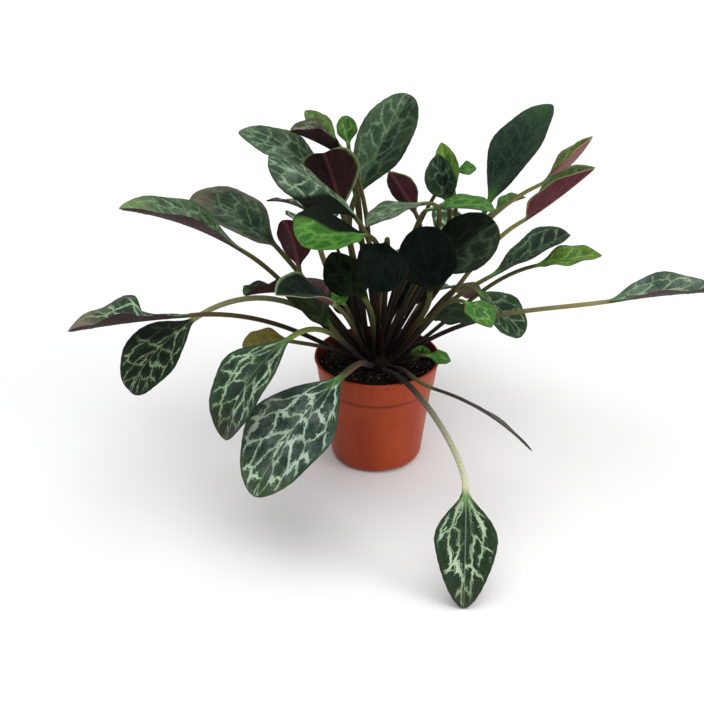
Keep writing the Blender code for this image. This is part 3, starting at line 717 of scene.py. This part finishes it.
def leaf_upper_side(w, given, at):
    """Dark patches, greener near the veins and the margin, then pores, down with painted sheen, the network
    and an aged tip.
    """
    greener = w.most(w.fall(at.near, 0.05, 0.30, 0.8), w.fall(at.from_margin_mm, 1.0, 5.0, 0.7))
    greener = w.plus(greener, w.scaled(at.mottle, 0.9, -0.45))
    colour = w.mix(w.most(greener, 0.0), given["Patch"], given["Green"])
    colour = w.mix(w.ramp(at.pores, 0.25, 0.7, 0.0, 0.4), colour, rgba(PORE_COLOUR))
    colour = w.mix(w.fall(at.pores, 0.0, 0.3, 0.10), colour, given["Pale"])
    # Pale clouds, partly silvery down and partly painted sheen
    frosting = w.times(w.ramp(at.clouds, 0.38, 0.66), given["Frost"])
    colour = w.mix(w.times(frosting, w.ramp(at.mottle, 0.3, 0.7, 0.5, 1.0)), colour, given["Pale"])
    heart = w.times(w.fall(at.along, 0.0, 0.22), w.fall(at.from_rib_mm, 1.0, 6.0))
    colour = w.mix(heart, colour, given["Heart"])
    dull = w.mix(0.4, given["Pale"], given["Heart"])
    colour = w.mix(at.silver, colour, w.mix(w.times(at.swell, 0.65), dull, given["Pale"]))
    to_tip = w.ramp(w.plus(at.along, w.times(at.mottle, 0.2)), 0.75, 1.05)
    colour = w.mix(w.times(to_tip, given["Tipped"]), colour, given["Tip"])

    # Painted shade on the half that lies in the shade of the leaves above, up to where it fades along the
    # blade
    shade_side = w.times(at.signed, w.math("SIGN", given["Dark Half"]))
    faded = w.ramp(w.minus(at.along, given["Dark To"]), -0.25, 0.25, 0.0, 0.9)
    shaded = w.ramp(w.minus(shade_side, faded), -0.06, 0.16)
    colour = w.mix(w.times(shaded, w.math("ABSOLUTE", given["Dark Half"])), colour, rgba(SHADE_COLOUR))
    edge = w.times(w.fall(at.from_margin_mm, *DARK_EDGE), at.blade)
    return w.mix(w.times(edge, 0.7), colour, rgba(EDGE_COLOUR))


def leaf_underside(w, given, at):
    net = w.times(w.fall(at.main, 0.0, 0.05), 0.3)
    rib = w.times(w.fall(at.from_rib_mm, *UNDER_RIB), 0.8)
    mottled = w.mix(0.35, given["Under"], given["Under Rib"])
    colour = w.mix(w.times(at.mottle, 0.5), given["Under"], mottled)
    return w.mix(w.most(net, rib), colour, given["Under Rib"])


def leaf_petiole(w, given, at):
    """Dark at the root, paler towards the blade, with streaks along it. The dark root is partly its own colour
    and partly painted shade under the leaves.
    """
    streak_place = w.join(w.times(at.along, 4.0), w.times(at.signed, 5.0), given["Seed"])
    streak = w.noise(streak_place, 2.0, 3.0, 0.6)
    grown_and_unshaded = w.plus(w.ramp(at.along, *PALER_FROM), w.scaled(streak, 0.5, -0.25))
    colour = w.mix(w.least(w.most(grown_and_unshaded, 0.0), 1.0), given["Root"], given["Stalk"])
    return w.mix(w.ramp(at.pores, 0.2, 0.7, 0.0, 0.25), colour, given["Root"])


def leaf_markings():
    """The node group that paints a leaf: its pale network, dark patches, underside, margin and petiole."""
    inputs = [(label, "Float", 1.0) for label in LEAF_NUMBERS]
    inputs += [(label, "Color", (0.5, 0.5, 0.5, 1.0)) for label in LEAF_COLOURS]
    outputs = [("Colour", "Color"), ("Roughness", "Float"), ("Height", "Float")]
    group = new_group("leaf_markings", inputs, outputs)
    w = Wires(group)
    given = group.nodes.new("NodeGroupInput").outputs
    at = leaf_spot(w)
    leaf_network(w, given, at)
    is_under = w.ramp(w.attribute("under"), 0.4, 0.6)
    sides = w.mix(is_under, leaf_upper_side(w, given, at), leaf_underside(w, given, at))
    ragged = w.scaled(at.mottle, 1.6, 0.2)
    rim = w.fall(at.from_margin_mm, 0.0, w.times(given["Rim Width"], ragged))
    sides = w.mix(w.times(rim, w.least(given["Rim Width"], 0.9)), sides, given["Rim"])
    pitted = w.scaled(at.pores, -0.5, w.times(at.mottle, 0.5))
    out = group.nodes.new("NodeGroupOutput")
    w.put(out.inputs["Colour"], w.mix(at.blade, leaf_petiole(w, given, at), sides))
    w.put(out.inputs["Roughness"], w.plus(w.scaled(at.mottle, 0.16, 0.42), w.times(is_under, 0.12)))
    w.put(out.inputs["Height"], w.scaled(at.silver, -0.2, pitted))
    return group


def plain_material(name):
    """A material with its Principled shader, and the wires to build on."""
    made = bpy.data.materials.new(name)
    made.use_nodes = True
    return made, Wires(made.node_tree), made.node_tree.nodes["Principled BSDF"]


def surface(w, shader, colour, roughness, gloss):
    w.put(shader.inputs["Base Color"], colour)
    w.put(shader.inputs["Roughness"], roughness)
    shader.inputs["Specular IOR Level"].default_value = gloss


def bump(w, shader, height, strength, distance_mm):
    made = w.node("ShaderNodeBump", {"Strength": strength, "Distance": distance_mm * MM, "Height": height})
    w.put(shader.inputs["Normal"], made.outputs[0])


def look_value(look, label):
    """The look's value for a socket of the group: Under Rib takes under_rib."""
    return getattr(look, label.lower().replace(" ", "_"))


def leaf_material(leaf, group, seed):
    look = LOOKS.get(leaf.name, Look())
    made, w, shader = plain_material("leaf_" + leaf.name)
    marks = w.node("ShaderNodeGroup", node_tree=group)
    half = leaf.width / 2
    length = (Vector(leaf.tip) - Vector(leaf.base)).length
    own = {"Seed": seed, "Length": length, "Half": half, "Cell": look.mesh * (CELL_MM + CELL_SHARE * half)}
    for label in LEAF_NUMBERS:
        marks.inputs[label].default_value = own[label] if label in own else look_value(look, label)
    for label in LEAF_COLOURS:
        marks.inputs[label].default_value = rgba(look_value(look, label))
    surface(w, shader, marks.outputs["Colour"], marks.outputs["Roughness"], look.gloss)
    shader.inputs["Sheen Weight"].default_value = look.sheen
    shader.inputs["Sheen Roughness"].default_value = 0.5
    bump(w, shader, marks.outputs["Height"], 0.5, 0.4)
    return made


def band_shadow(w, z):
    """The painted shadow line and the soft painted shade where the band's lower edge stands over the wall."""
    edge = (POT_H - BAND_H) * MM
    from_shadow_line = w.math("ABSOLUTE", w.minus(z, edge - SHADOW_LINE_DROP * MM))
    shade = w.ramp(z, edge - SHADE_FROM * MM, edge - SHADE_TO * MM, 0.0, 0.35)
    below = w.fall(z, edge - 0.3 * MM, edge + 0.1 * MM)
    return w.most(w.fall(from_shadow_line, 0.3 * MM, 1.3 * MM, 0.85), w.times(shade, below))


def inner_wall(w, x, y, z):
    """How surely a point is on the pot's inner wall above the soil, where shade is painted: it's nearer the
    axis than the band.
    """
    from_axis = w.math("SQRT", w.scaled(x, x, w.times(y, y)))
    outside = w.scaled(z, (band_r(POT_H) - band_r(POT_H - BAND_H)) / BAND_H, band_r(0) * MM)
    inside = w.ramp(w.minus(outside, from_axis), WALL / 2 * MM, (WALL - 0.15) * MM)
    return w.times(inside, w.ramp(z, BARE_FROM * MM, BARE_TO * MM, 0.0, 0.8))


def pot_material():
    """Thin moulded plastic, with soft streaks down the wall, scuffs, some soil dust round the rim, and painted
    shade under the band and on the inner wall.
    """
    made, w, shader = plain_material("pot_plastic")
    place = w.object_place()
    x, y, z = w.split(place)
    streaks = w.noise(w.vector("MULTIPLY", place, (1.0, 1.0, 0.12)), 90.0, 3.0, 0.55)
    scuffs = w.noise(place, 45.0, 3.0, 0.6)
    specks = w.noise(place, 700.0, 2.0, 0.7)
    colour = w.mix(w.ramp(streaks, 0.3, 0.7), rgba(PLASTIC_DEEP), rgba(PLASTIC_PALER))
    colour = w.mix(w.ramp(scuffs, 0.45, 0.75, 0.0, 0.35), colour, rgba(PLASTIC_SCUFFED))
    dust = w.times(w.ramp(specks, 0.60, 0.72), w.ramp(z, DUST_FROM * MM, DUST_TO * MM, 0.05, 0.5))
    colour = w.mix(dust, colour, rgba(DUST_COLOUR))
    # Painted shadow under the band
    colour = w.mix(band_shadow(w, z), colour, rgba(SHADOW_LINE_COLOUR))
    # Painted shade on the inner wall
    colour = w.mix(inner_wall(w, x, y, z), colour, rgba(INSIDE_SHADE_COLOUR))
    surface(w, shader, colour, w.scaled(scuffs, 0.22, 0.30), 0.22)
    bump(w, shader, w.scaled(streaks, 0.8, w.times(specks, 0.2)), 0.25, 0.4)
    return made


def soil_material(name, dark, light, spread):
    """Moist peat. The attribute tone makes each crumb a little lighter or darker."""
    made, w, shader = plain_material(name)
    grain = w.noise(w.object_place(), 900.0, 4.0, 0.7)
    share = w.plus(w.times(w.attribute("tone"), spread), w.scaled(grain, 0.6, -0.25))
    colour = w.mix(w.most(share, 0.0), rgba(dark), rgba(light))
    surface(w, shader, colour, w.scaled(grain, 0.3, 0.6), 0.12)
    bump(w, shader, grain, 0.7, 0.6)
    return made


def crown_material():
    """The old brown base of the plant, with green where the petioles leave it."""
    made, w, shader = plain_material("crown_bark")
    place = w.object_place()
    grain = w.noise(place, 500.0, 4.0, 0.65)
    patches = w.noise(place, 120.0)
    colour = w.mix(w.ramp(grain, 0.3, 0.7), rgba(BARK_DARK), rgba(BARK_LIGHT))
    colour = w.mix(w.ramp(patches, 0.5, 0.7, 0.0, 0.2), colour, rgba(BARK_GREEN))
    surface(w, shader, colour, w.scaled(grain, 0.25, 0.6), 0.08)
    bump(w, shader, grain, 0.8, 0.8)
    return made


# Shapes


def add_object(name, data):
    obj = bpy.data.objects.new(name, data)
    bpy.context.scene.collection.objects.link(obj)
    return obj


def mesh_object(mesh, name):
    """Puts a bmesh into the scene as it is."""
    data = bpy.data.meshes.new(name)
    mesh.to_mesh(data)
    mesh.free()
    return add_object(name, data)


def to_object(mesh, name, material, node=None, sharp_deg=None):
    """Puts a bmesh in millimetres into the scene as a piece that rides on the plant's one body."""
    bmesh.ops.scale(mesh, vec=(MM, MM, MM), verts=mesh.verts)
    obj = mesh_object(mesh, name)
    obj.data.shade_smooth()
    if sharp_deg is not None:
        obj.data.set_sharp_from_angle(angle=math.radians(sharp_deg))
    obj.data.materials.append(material)
    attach(obj, "root")
    if node:
        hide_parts(node)
    return obj


def turned(profile, sides):
    """A closed solid of revolution round Z. The profile's two ends lie on the axis."""
    mesh = bmesh.new()
    rail = [mesh.verts.new((r, 0, z)) for r, z in profile]
    edges = [mesh.edges.new(pair) for pair in zip(rail, rail[1:])]
    whole = {"axis": UP, "cent": (0, 0, 0), "angle": math.tau, "steps": sides, "use_merge": True}
    bmesh.ops.spin(mesh, geom=rail + edges, **whole)
    bmesh.ops.remove_doubles(mesh, verts=mesh.verts, dist=1e-4)
    bmesh.ops.recalc_face_normals(mesh, faces=mesh.faces)
    return mesh


def arc(centre, radius, start_deg, end_deg, steps):
    angles = (math.radians(start_deg + (end_deg - start_deg) * i / steps) for i in range(steps + 1))
    return [(centre[0] + radius * math.cos(a), centre[1] + radius * math.sin(a)) for a in angles]


def wall_r(z):
    share = (z - FOOT_ROUND) / (POT_H - BAND_H - FOOT_ROUND)
    return WALL_FOOT_R + (WALL_TOP_R - WALL_FOOT_R) * share


def band_r(z):
    low = POT_H - BAND_H
    share = (z - low) / BAND_H
    return WALL_TOP_R + BAND_STEP + (RIM_R - LIP - WALL_TOP_R - BAND_STEP) * share


def inner_side(gap):
    """Half section of the pot's inside below the band's top, or of what fills it with a gap all round."""
    step_z = POT_H - BAND_H
    inset = WALL + gap
    corner_r = WALL_FOOT_R - FOOT_ROUND
    return [
        (band_r(step_z) - inset, step_z + INNER_SLOPE_UP + gap / 2),
        (wall_r(step_z) - inset, step_z - INNER_SLOPE_DOWN),
        (WALL_FOOT_R - inset, FOOT_ROUND + gap / 2),
        (corner_r + FILLET_R - gap, FLOOR + FILLET_Z + gap),
        (corner_r, FLOOR + gap),
    ]


def pot_profile():
    """Half section of the pot, with the band's lower edge and the rim's bead rounded off."""
    step_z = POT_H - BAND_H
    neck_z = step_z - NECK_DROP
    slope_z = step_z - BAND_SLOPE
    inner_r = RIM_R - LIP - WALL
    foot = arc((WALL_FOOT_R - FOOT_ROUND, FOOT_ROUND), FOOT_ROUND, -90, 0, 10)
    wall = [(wall_r(z), z) for z in WALL_RINGS]
    under_band = [(wall_r(neck_z), neck_z), (wall_r(slope_z) + 0.05, slope_z)]
    corner = arc((band_r(step_z) - CORNER_R, step_z + 0.1), CORNER_R, -80, 0, 4)
    band = [(band_r(step_z + up), step_z + up) for up in BAND_RINGS]
    bead = [(band_r(POT_H - LIP_H), POT_H - LIP_H)]
    bead += arc((RIM_R - BEAD_R, POT_H - BEAD_DROP), BEAD_R, -40, 90, 7)
    bead += [(inner_r + CORNER_R, POT_H), (inner_r, POT_H - CORNER_R)]
    return [(0, 0), *foot, *wall, *under_band, *corner, *band, *bead, *inner_side(0.0), (0, FLOOR)]


def foot_notches():
    mesh = bmesh.new()
    long = RIM_R - NOTCH_IN_R
    for i in range(NOTCHES):
        turn = Matrix.Rotation(math.radians(NOTCH_AZIMUTH + i * 360 / NOTCHES), 4, "Z")
        place = turn @ Matrix.Translation((NOTCH_IN_R + long / 2, 0, 0))
        size = Matrix.Diagonal((long, NOTCH_W, 2 * NOTCH_H, 1))
        bmesh.ops.create_cube(mesh, size=1.0, matrix=place @ size)
    top = [e for e in mesh.edges if abs(e.verts[0].co.z + e.verts[1].co.z - 2 * NOTCH_H) < 1e-6]
    rounded = {"offset": NOTCH_ROUND, "segments": 3, "profile": 0.5, "affect": "EDGES", "material": -1}
    bmesh.ops.bevel(mesh, geom=top, **rounded)
    return mesh_object(mesh, "notch_helper")


def floor_drains():
    mesh = bmesh.new()
    drill = {"cap_ends": True, "segments": 32, "radius1": DRAIN_R, "radius2": DRAIN_R, "depth": FLOOR * 6}
    for i in range(DRAINS):
        angle = math.radians(NOTCH_AZIMUTH + DRAIN_TURN + i * 360 / DRAINS)
        middle = Vector((math.cos(angle), math.sin(angle), 0)) * DRAIN_RING_R
        bmesh.ops.create_cone(mesh, matrix=Matrix.Translation(middle), **drill)
    return mesh_object(mesh, "drain_helper")


def make_pot():
    body = mesh_object(turned(pot_profile(), POT_SIDES), "pot_helper")
    helpers = [foot_notches(), floor_drains()]
    for helper in helpers:
        cut = body.modifiers.new(helper.name, "BOOLEAN")
        cut.operation = "DIFFERENCE"
        cut.solver = "EXACT"
        cut.object = helper
    mesh = bmesh.new()
    mesh.from_object(body, bpy.context.evaluated_depsgraph_get())
    for obj in (body, *helpers):
        bpy.data.objects.remove(obj)
    return to_object(mesh, "pot_shell", pot_material(), "pot", sharp_deg=38)


def soil_edge_r():
    return band_r(SOIL_Z) - WALL - SOIL_GAP


def soil_top(x, y):
    """The soil's surface: a low mound of lumps that die out at the pot's wall."""
    share = min(1.0, math.hypot(x, y) / soil_edge_r())
    lumps = sum(height * noise.noise(Vector((x, y, layer)) * pace) for height, pace, layer in SOIL_LUMPS)
    return SOIL_Z + SOIL_RISE * (1 - share**2) + lumps * (1 - share**6)


def make_soil():
    edge_r = soil_edge_r()
    side = inner_side(SOIL_GAP)[::-1]
    top = [(edge_r * (1 - i / SOIL_RINGS), SOIL_Z) for i in range(SOIL_RINGS)]
    mesh = turned([(0, FLOOR + SOIL_GAP), *side, *top, (0, SOIL_Z)], SOIL_SIDES)
    tone = mesh.verts.layers.float.new("tone")
    for vert in mesh.verts:
        if abs(vert.co.z - SOIL_Z) < 0.01:
            vert.co.z = soil_top(vert.co.x, vert.co.y)
        vert[tone] = 0.25
    return to_object(mesh, "soil_bed", SOIL, "soil")


def scatter(rng):
    """A random place on the soil's surface."""
    r = math.sqrt(rng.uniform(SCATTER_FROM**2, (soil_edge_r() - 0.6) ** 2))
    angle = rng.uniform(0, math.tau)
    x, y = r * math.cos(angle), r * math.sin(angle)
    return Vector((x, y, soil_top(x, y)))


def make_crumbs(name, count, sizes, squash, material, fineness, tones, seed):
    """Small uneven lumps that lie on the soil."""
    rng = random.Random(seed)
    mesh = bmesh.new()
    tone = mesh.verts.layers.float.new("tone")
    for _ in range(count):
        size = rng.uniform(*sizes) * rng.uniform(0.6, 1.0)
        at = scatter(rng)
        turn = Matrix.Rotation(rng.uniform(0, math.tau), 4, Vector([rng.gauss(0, 1) for _ in range(3)]))
        shape = Matrix.Diagonal((size, size * rng.uniform(0.6, 1.0), size * rng.uniform(*squash), 1))
        made = bmesh.ops.create_icosphere(mesh, subdivisions=fineness, radius=0.5, matrix=turn @ shape)
        own_tone = rng.uniform(*tones)
        offset = Vector([rng.uniform(-50, 50) for _ in range(3)])
        for vert in made["verts"]:
            vert.co *= 1 + CRUMB_DENTS * noise.noise(vert.co * CRUMB_PACE / size + offset)
            vert.co += at + UP * size * CRUMB_LIFT
            vert[tone] = own_tone
    return to_object(mesh, name, material)


def rolled_tube(mesh, points, radii, sides):
    """A thin closed tube along the points, from a rolled grid."""
    last = len(points) - 1
    made = bmesh.ops.create_grid(mesh, x_segments=last, y_segments=sides, size=1.0)
    for vert in made["verts"]:
        k = min(last, int(round((vert.co.x + 1) / 2 * last)))
        ahead = points[min(k + 1, last)] - points[max(k - 1, 0)]
        side = ahead.orthogonal().normalized()
        other = ahead.normalized().cross(side)
        angle = math.pi * (vert.co.y + 1)
        vert.co = points[k] + (side * math.cos(angle) + other * math.sin(angle)) * radii[k]
    return made["verts"]


def close_seams(mesh, distance):
    """Joins the seam of a rolled grid and closes its two ends."""
    bmesh.ops.remove_doubles(mesh, verts=mesh.verts, dist=distance)
    bmesh.ops.holes_fill(mesh, edges=mesh.edges, sides=0)
    bmesh.ops.recalc_face_normals(mesh, faces=mesh.faces)


def make_fibres():
    """Peat fibres and bits of root that lie across the crumbs."""
    rng = random.Random(23)
    mesh = bmesh.new()
    tone = mesh.verts.layers.float.new("tone")
    for _ in range(FIBRES):
        start = scatter(rng)
        angle = rng.uniform(0, math.tau)
        curl = rng.uniform(-0.6, 0.6)
        step = rng.uniform(0.4, 1.1)
        thick = rng.uniform(0.06, 0.16)
        points = []
        x, y = start.x, start.y
        for _ in FIBRE_TAPER:
            points.append(Vector((x, y, soil_top(x, y) + 0.25 + rng.uniform(0.0, 0.5))))
            x += math.cos(angle) * step
            y += math.sin(angle) * step
            angle += curl
            if math.hypot(x, y) > soil_edge_r() - 0.5:
                angle += math.pi / 2
                x, y = x * 0.97, y * 0.97
        radii = [thick * share for share in FIBRE_TAPER]
        own_tone = rng.uniform(0.3, 1.0)
        for vert in rolled_tube(mesh, points, radii, 4):
            vert[tone] = own_tone
    close_seams(mesh, 1e-4)
    return to_object(mesh, "soil_fibres", FIBRE)


def make_crown():
    """The short stem, knobbly with the stubs of old petioles."""
    head = arc((0, CROWN_Z), CROWN_R, 0, 90, 24)
    foot_z = CROWN_Z - CROWN_NECK
    neck = [(CROWN_R, foot_z + i * 1.0) for i in range(CROWN_NECK)]
    mesh = turned([(0, foot_z), *neck, *head[:-1], (0, CROWN_Z + CROWN_R)], CROWN_SIDES)
    middle = Vector((0, 0, CROWN_Z))
    for vert in mesh.verts:
        way = (vert.co - middle).normalized()
        knobs = sum(height * noise.noise(way * pace) for height, pace in CROWN_KNOBS)
        vert.co += way * (knobs - CROWN_SHRINK)
    return to_object(mesh, "crown_stem", crown_material(), "crown")


def root_directions(leaves):
    """A direction from the crown's middle for each petiole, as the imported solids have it."""
    centre = Vector((0, 0, CROWN_Z))
    wishes = [(Vector(leaf.base) - centre).normalized() for leaf in leaves]
    ways = [wish.copy() for wish in wishes]
    low = math.radians(ROOT_LOWEST)
    for i in range(ROOT_ROUNDS):
        pitch = math.radians(ROOT_PITCH) * min(1.0, ROOT_GROWTH * i / ROOT_ROUNDS)
        for j, first in enumerate(ways):
            for second in ways[j + 1 :]:
                short = pitch - first.angle(second)
                if short > 0:
                    push = (first - second).normalized() * short * ROOT_PUSH
                    first += push
                    second -= push
                    first.normalize()
                    second.normalize()
        for way, wish in zip(ways, wishes):
            way += wish * ROOT_PULL
            way.normalize()
            if way.z < math.sin(low):
                way.z = 0
                way.normalize()
                way.z = math.tan(low)
                way.normalize()
    return ways


class LeafShape:
    """The surface of one leaf: a rib curve, and a cross-section at each place along it.

    A place along the leaf is a number from -1, the root, over 0, where the blade starts, to 1, the tip.
    """

    def __init__(self, leaf, way):
        self.leaf = leaf
        base, tip = Vector(leaf.base), Vector(leaf.tip)
        face = Vector(leaf.face)
        along = (tip - base).normalized()
        side_up = (face - along * face.dot(along)).normalized()
        middle = (base + tip) / 2 + side_up * (2 * leaf.bow)
        root = Vector((0, 0, CROWN_Z)) + way * (CROWN_R + GAP)
        span = (base - root).length
        start = (way + UP * leaf.rise).normalized()
        end = (middle - base).normalized()
        clear = root + way * STRAIGHT
        bend = clear + start * span * (LIFT + LIFT_RISE * leaf.rise)
        self.way = way
        self.petiole = [root, clear, bend, base - end * span * leaf.lead, base]
        self.blade = [base, middle, tip]
        self.length = (tip - base).length
        self.face = face.normalized()
        self.stalk = STALK_MIN + leaf.width * STALK_SHARE
        self.phase = (leaf.base[0] * PHASE_MIX[0] + leaf.tip[1] * PHASE_MIX[1]) % math.tau
        self.frames = {}

    def rib(self, s):
        return bezier(self.petiole, s + 1) if s < 0 else bezier(self.blade, s)

    def frame(self, s):
        """Place, side and upward direction of the cross-section at s."""
        if s not in self.frames:
            low, high = (s - RIB_STEP, s) if s > 0.5 else (s, s + RIB_STEP)
            along = (self.rib(high) - self.rib(low)).normalized()
            place = self.rib(s)
            outward = Vector((place.x, place.y, 0)).normalized()
            root_up = (UP - outward * ROOT_LEAN).normalized()
            wanted = root_up.lerp(self.face, smooth((s + 1) * TWIST_PACE))
            up = (wanted - along * wanted.dot(along)).normalized()
            self.frames[s] = place, along.cross(up), up
        return self.frames[s]

    def reach(self, s, v):
        """How much of the half width this side has at s: the margin has fine teeth, and one leaf is torn."""
        room = smooth(s / 0.2) * smooth((1 - s) / 0.1)
        teeth = TEETH_MM * math.sin(math.tau * s * self.length / TEETH_PITCH) * room
        share = 1 + teeth / max(1.0, self.half_width(s))
        if self.leaf.name == TORN_LEAF and v > 0:
            share *= TORN_LEFT + (1 - TORN_LEFT) * smooth((s - TORN_TO) / TORN_OVER)
        return share

    def half_width(self, s):
        if s <= 0:
            return self.stalk
        widest = self.leaf.widest
        if s < widest:
            share = math.sin(math.pi / 2 * s / widest) ** BASE_TAPER
        else:
            share = (1 - ((s - widest) / (1 - widest)) ** self.leaf.taper) ** self.leaf.point
        return math.hypot(share * self.leaf.width / 2, self.stalk * (1 - s))

    def middle_line(self, s, v):
        """The cross-section's middle line at v, from -1 at one margin to 1 at the other."""
        half = self.half_width(s) * (self.reach(s, v) if s > 0 else 1.0)
        fold = math.radians(self.leaf.fold) * smooth(s / FOLD_FROM)
        lift = (math.hypot(v, CREASE) - CREASE) * math.sin(fold)
        ripple = math.sin(WAVES * math.tau * s + self.phase + (WAVE_LAG if v > 0 else 0)) * v * v
        room = smooth(s / WAVE_IN) * smooth((1 - s) / WAVE_OUT)
        return Vector((half * v * math.cos(fold), half * lift + self.leaf.wave * ripple * room))

    def relief(self, s, v):
        """How far the side veins and the tissue between them stand above the even blade."""
        a = abs(v)
        swept = (s - VEIN_LEAN * a - VEIN_BEND * a * a) * SIDE_VEINS + (0.5 if v > 0 else 0.0)
        from_vein = abs(swept - round(swept))
        quilt = QUILT_UP - VEIN_DOWN * bell(from_vein / VEIN_WIDTH)
        room = smooth((s - 0.05) / 0.15) * smooth((1 - s) / 0.15) * smooth((1 - a) / 0.2) * smooth(a / 0.12)
        return quilt * room

    def thickness(self, s, v):
        """How far the upper and the lower skin lie from the middle line."""
        blade = smooth((s - BLADE_FROM) / BLADE_EASE)
        round_stalk = math.sqrt(max(0.0, 1 - v * v))
        round_blade = math.sqrt(max(0.0, 1 - v**8)) * (1 - MARGIN_THINS * smooth((abs(v) - 0.5) / 0.5))
        across_mm = v * self.half_width(s)
        rib = self.stalk * RIB_DEPTH * (1 - s) * bell(across_mm / (self.stalk * RIB_HALF))
        groove = GROOVE_DEPTH * (1 - s) * bell(across_mm / GROOVE_HALF)
        closing = smooth((1 - s) / TIP_CLOSES)
        upper = round_stalk * self.stalk * STALK_UP * (1 - blade)
        lower = round_stalk * self.stalk * STALK_DOWN * (1 - blade)
        upper += (round_blade * BLADE_T / 2 - groove + self.relief(s, v)) * blade * closing
        lower += (round_blade * BLADE_T / 2 + rib - self.relief(s, v) * UNDER_RELIEF) * blade * closing
        return upper, lower

    def skin(self, s, v, is_upper):
        """A point of the leaf's upper or lower skin."""
        here = self.middle_line(s, v)
        across = (self.middle_line(s, v + ACROSS_STEP) - self.middle_line(s, v - ACROSS_STEP)).normalized()
        upper, lower = self.thickness(s, v)
        normal = Vector((-across.y, across.x))
        place, side, up = self.frame(s)
        point = here + normal * (upper if is_upper else -lower)
        return place + side * point.x + up * point.y


def leaf_place(x, y, blade_rows):
    """Where a point of the flat blank, with x and y from -1 to 1, comes to lie on the leaf."""
    rows = STALK_ROWS + blade_rows
    row = (x + 1) / 2 * rows
    if row < STALK_ROWS:
        s = row / STALK_ROWS - 1
    else:
        t = (row - STALK_ROWS) / blade_rows
        s = 0.5 * t + 0.5 * math.sin(math.pi / 2 * t)
    angle = math.pi * (y + 1)
    is_upper = angle < math.pi
    even = 1 - 2 * angle / math.pi if is_upper else 2 * angle / math.pi - 3
    flat = smooth((s + 0.1) / 0.2) * EVEN_ACROSS
    v = even * flat + math.cos(angle) * (1 - flat)
    return round(s, 6), v, is_upper


def make_leaf(leaf, way, material):
    """A leaf from a flat blank that is rolled into a closed skin round the petiole and the blade."""
    shape = LeafShape(leaf, way)
    blade_rows = SMALL_BLADE_ROWS if leaf.width < SMALL_WIDTH else BLADE_ROWS
    mesh = bmesh.new()
    bmesh.ops.create_grid(mesh, x_segments=STALK_ROWS + blade_rows, y_segments=AROUND, size=1.0)
    uv = mesh.loops.layers.uv.new("leaf")
    under = mesh.verts.layers.float.new("under")
    half_mm = mesh.verts.layers.float.new("half_mm")
    for vert in mesh.verts:
        s, v, is_upper = leaf_place(vert.co.x, vert.co.y, blade_rows)
        for loop in vert.link_loops:
            loop[uv].uv = ((s + 1) / 2, (v + 1) / 2)
        on_margin = abs(v) > 0.999
        vert[under] = 0.5 if on_margin else 0.0 if is_upper else 1.0
        vert[half_mm] = shape.half_width(s)
        vert.co = shape.skin(s, v, is_upper)
        if s < -0.99:
            vert.co -= way * SUNK_ROOT
    close_seams(mesh, 1e-3)
    return to_object(mesh, "grown_" + leaf.name, material, "leaf_" + leaf.name)


# The studio


def soft_sun(name, towards_light, spread_deg, strength, colour):
    data = bpy.data.lights.new(name, "SUN")
    data.angle = math.radians(spread_deg)
    data.energy = strength
    data.color = colour
    add_object(name, data).rotation_euler = Vector(towards_light).to_track_quat("Z", "Y").to_euler()


def make_floor():
    mesh = bmesh.new()
    bmesh.ops.create_grid(mesh, x_segments=1, y_segments=1, size=FLOOR_HALF)
    floor = mesh_object(mesh, "floor")
    made, w, shader = plain_material("pale_floor")
    surface(w, shader, rgba(FLOOR_COLOUR), 0.9, 0.1)
    floor.data.materials.append(made)


def make_world():
    world = bpy.data.worlds.new("studio")
    world.use_nodes = True
    back = world.node_tree.nodes["Background"]
    back.inputs["Color"].default_value = rgba(WORLD_COLOUR)
    back.inputs["Strength"].default_value = WORLD_STRENGTH
    bpy.context.scene.world = world


def make_camera():
    """The photograph's view, fitted to the ellipse of the pot's rim."""
    data = bpy.data.cameras.new("camera")
    data.sensor_width = SENSOR_MM
    data.lens = LENS_MM
    data.clip_start = 0.01
    camera = add_object("camera", data)
    camera.location = CAMERA_PLACE
    camera.rotation_euler = (math.radians(90 - CAMERA_DOWN_DEG), 0, 0)
    bpy.context.scene.camera = camera


SOIL = soil_material("soil_peat", (0.004, 0.0025, 0.002), (0.026, 0.016, 0.010), 0.6)
FIBRE = soil_material("soil_fibre", (0.030, 0.020, 0.012), (0.22, 0.17, 0.12), 0.8)
STONE = soil_material("soil_perlite", (0.30, 0.28, 0.25), (0.62, 0.60, 0.56), 0.6)

make_camera()
make_pot()
make_soil()
make_crumbs("soil_crumbs", CRUMBS, (0.7, 2.0), (0.5, 0.9), SOIL, 1, (0.0, 0.9), 5)
make_crumbs("soil_clods", CLODS, (1.8, 3.6), (0.45, 0.8), SOIL, 2, (0.1, 0.6), 11)
make_crumbs("soil_specks", PERLITE, (0.4, 1.1), (0.6, 1.0), STONE, 1, (0.0, 1.0), 17)
make_fibres()
make_crown()
MARKINGS = leaf_markings()
for number, (leaf, way) in enumerate(zip(LEAVES, root_directions(LEAVES))):
    make_leaf(leaf, way, leaf_material(leaf, MARKINGS, number * SEED_STEP))
make_floor()
make_world()
for sun in SUNS:
    soft_sun(*sun)
bpy.context.scene.view_settings.view_transform = "Standard"
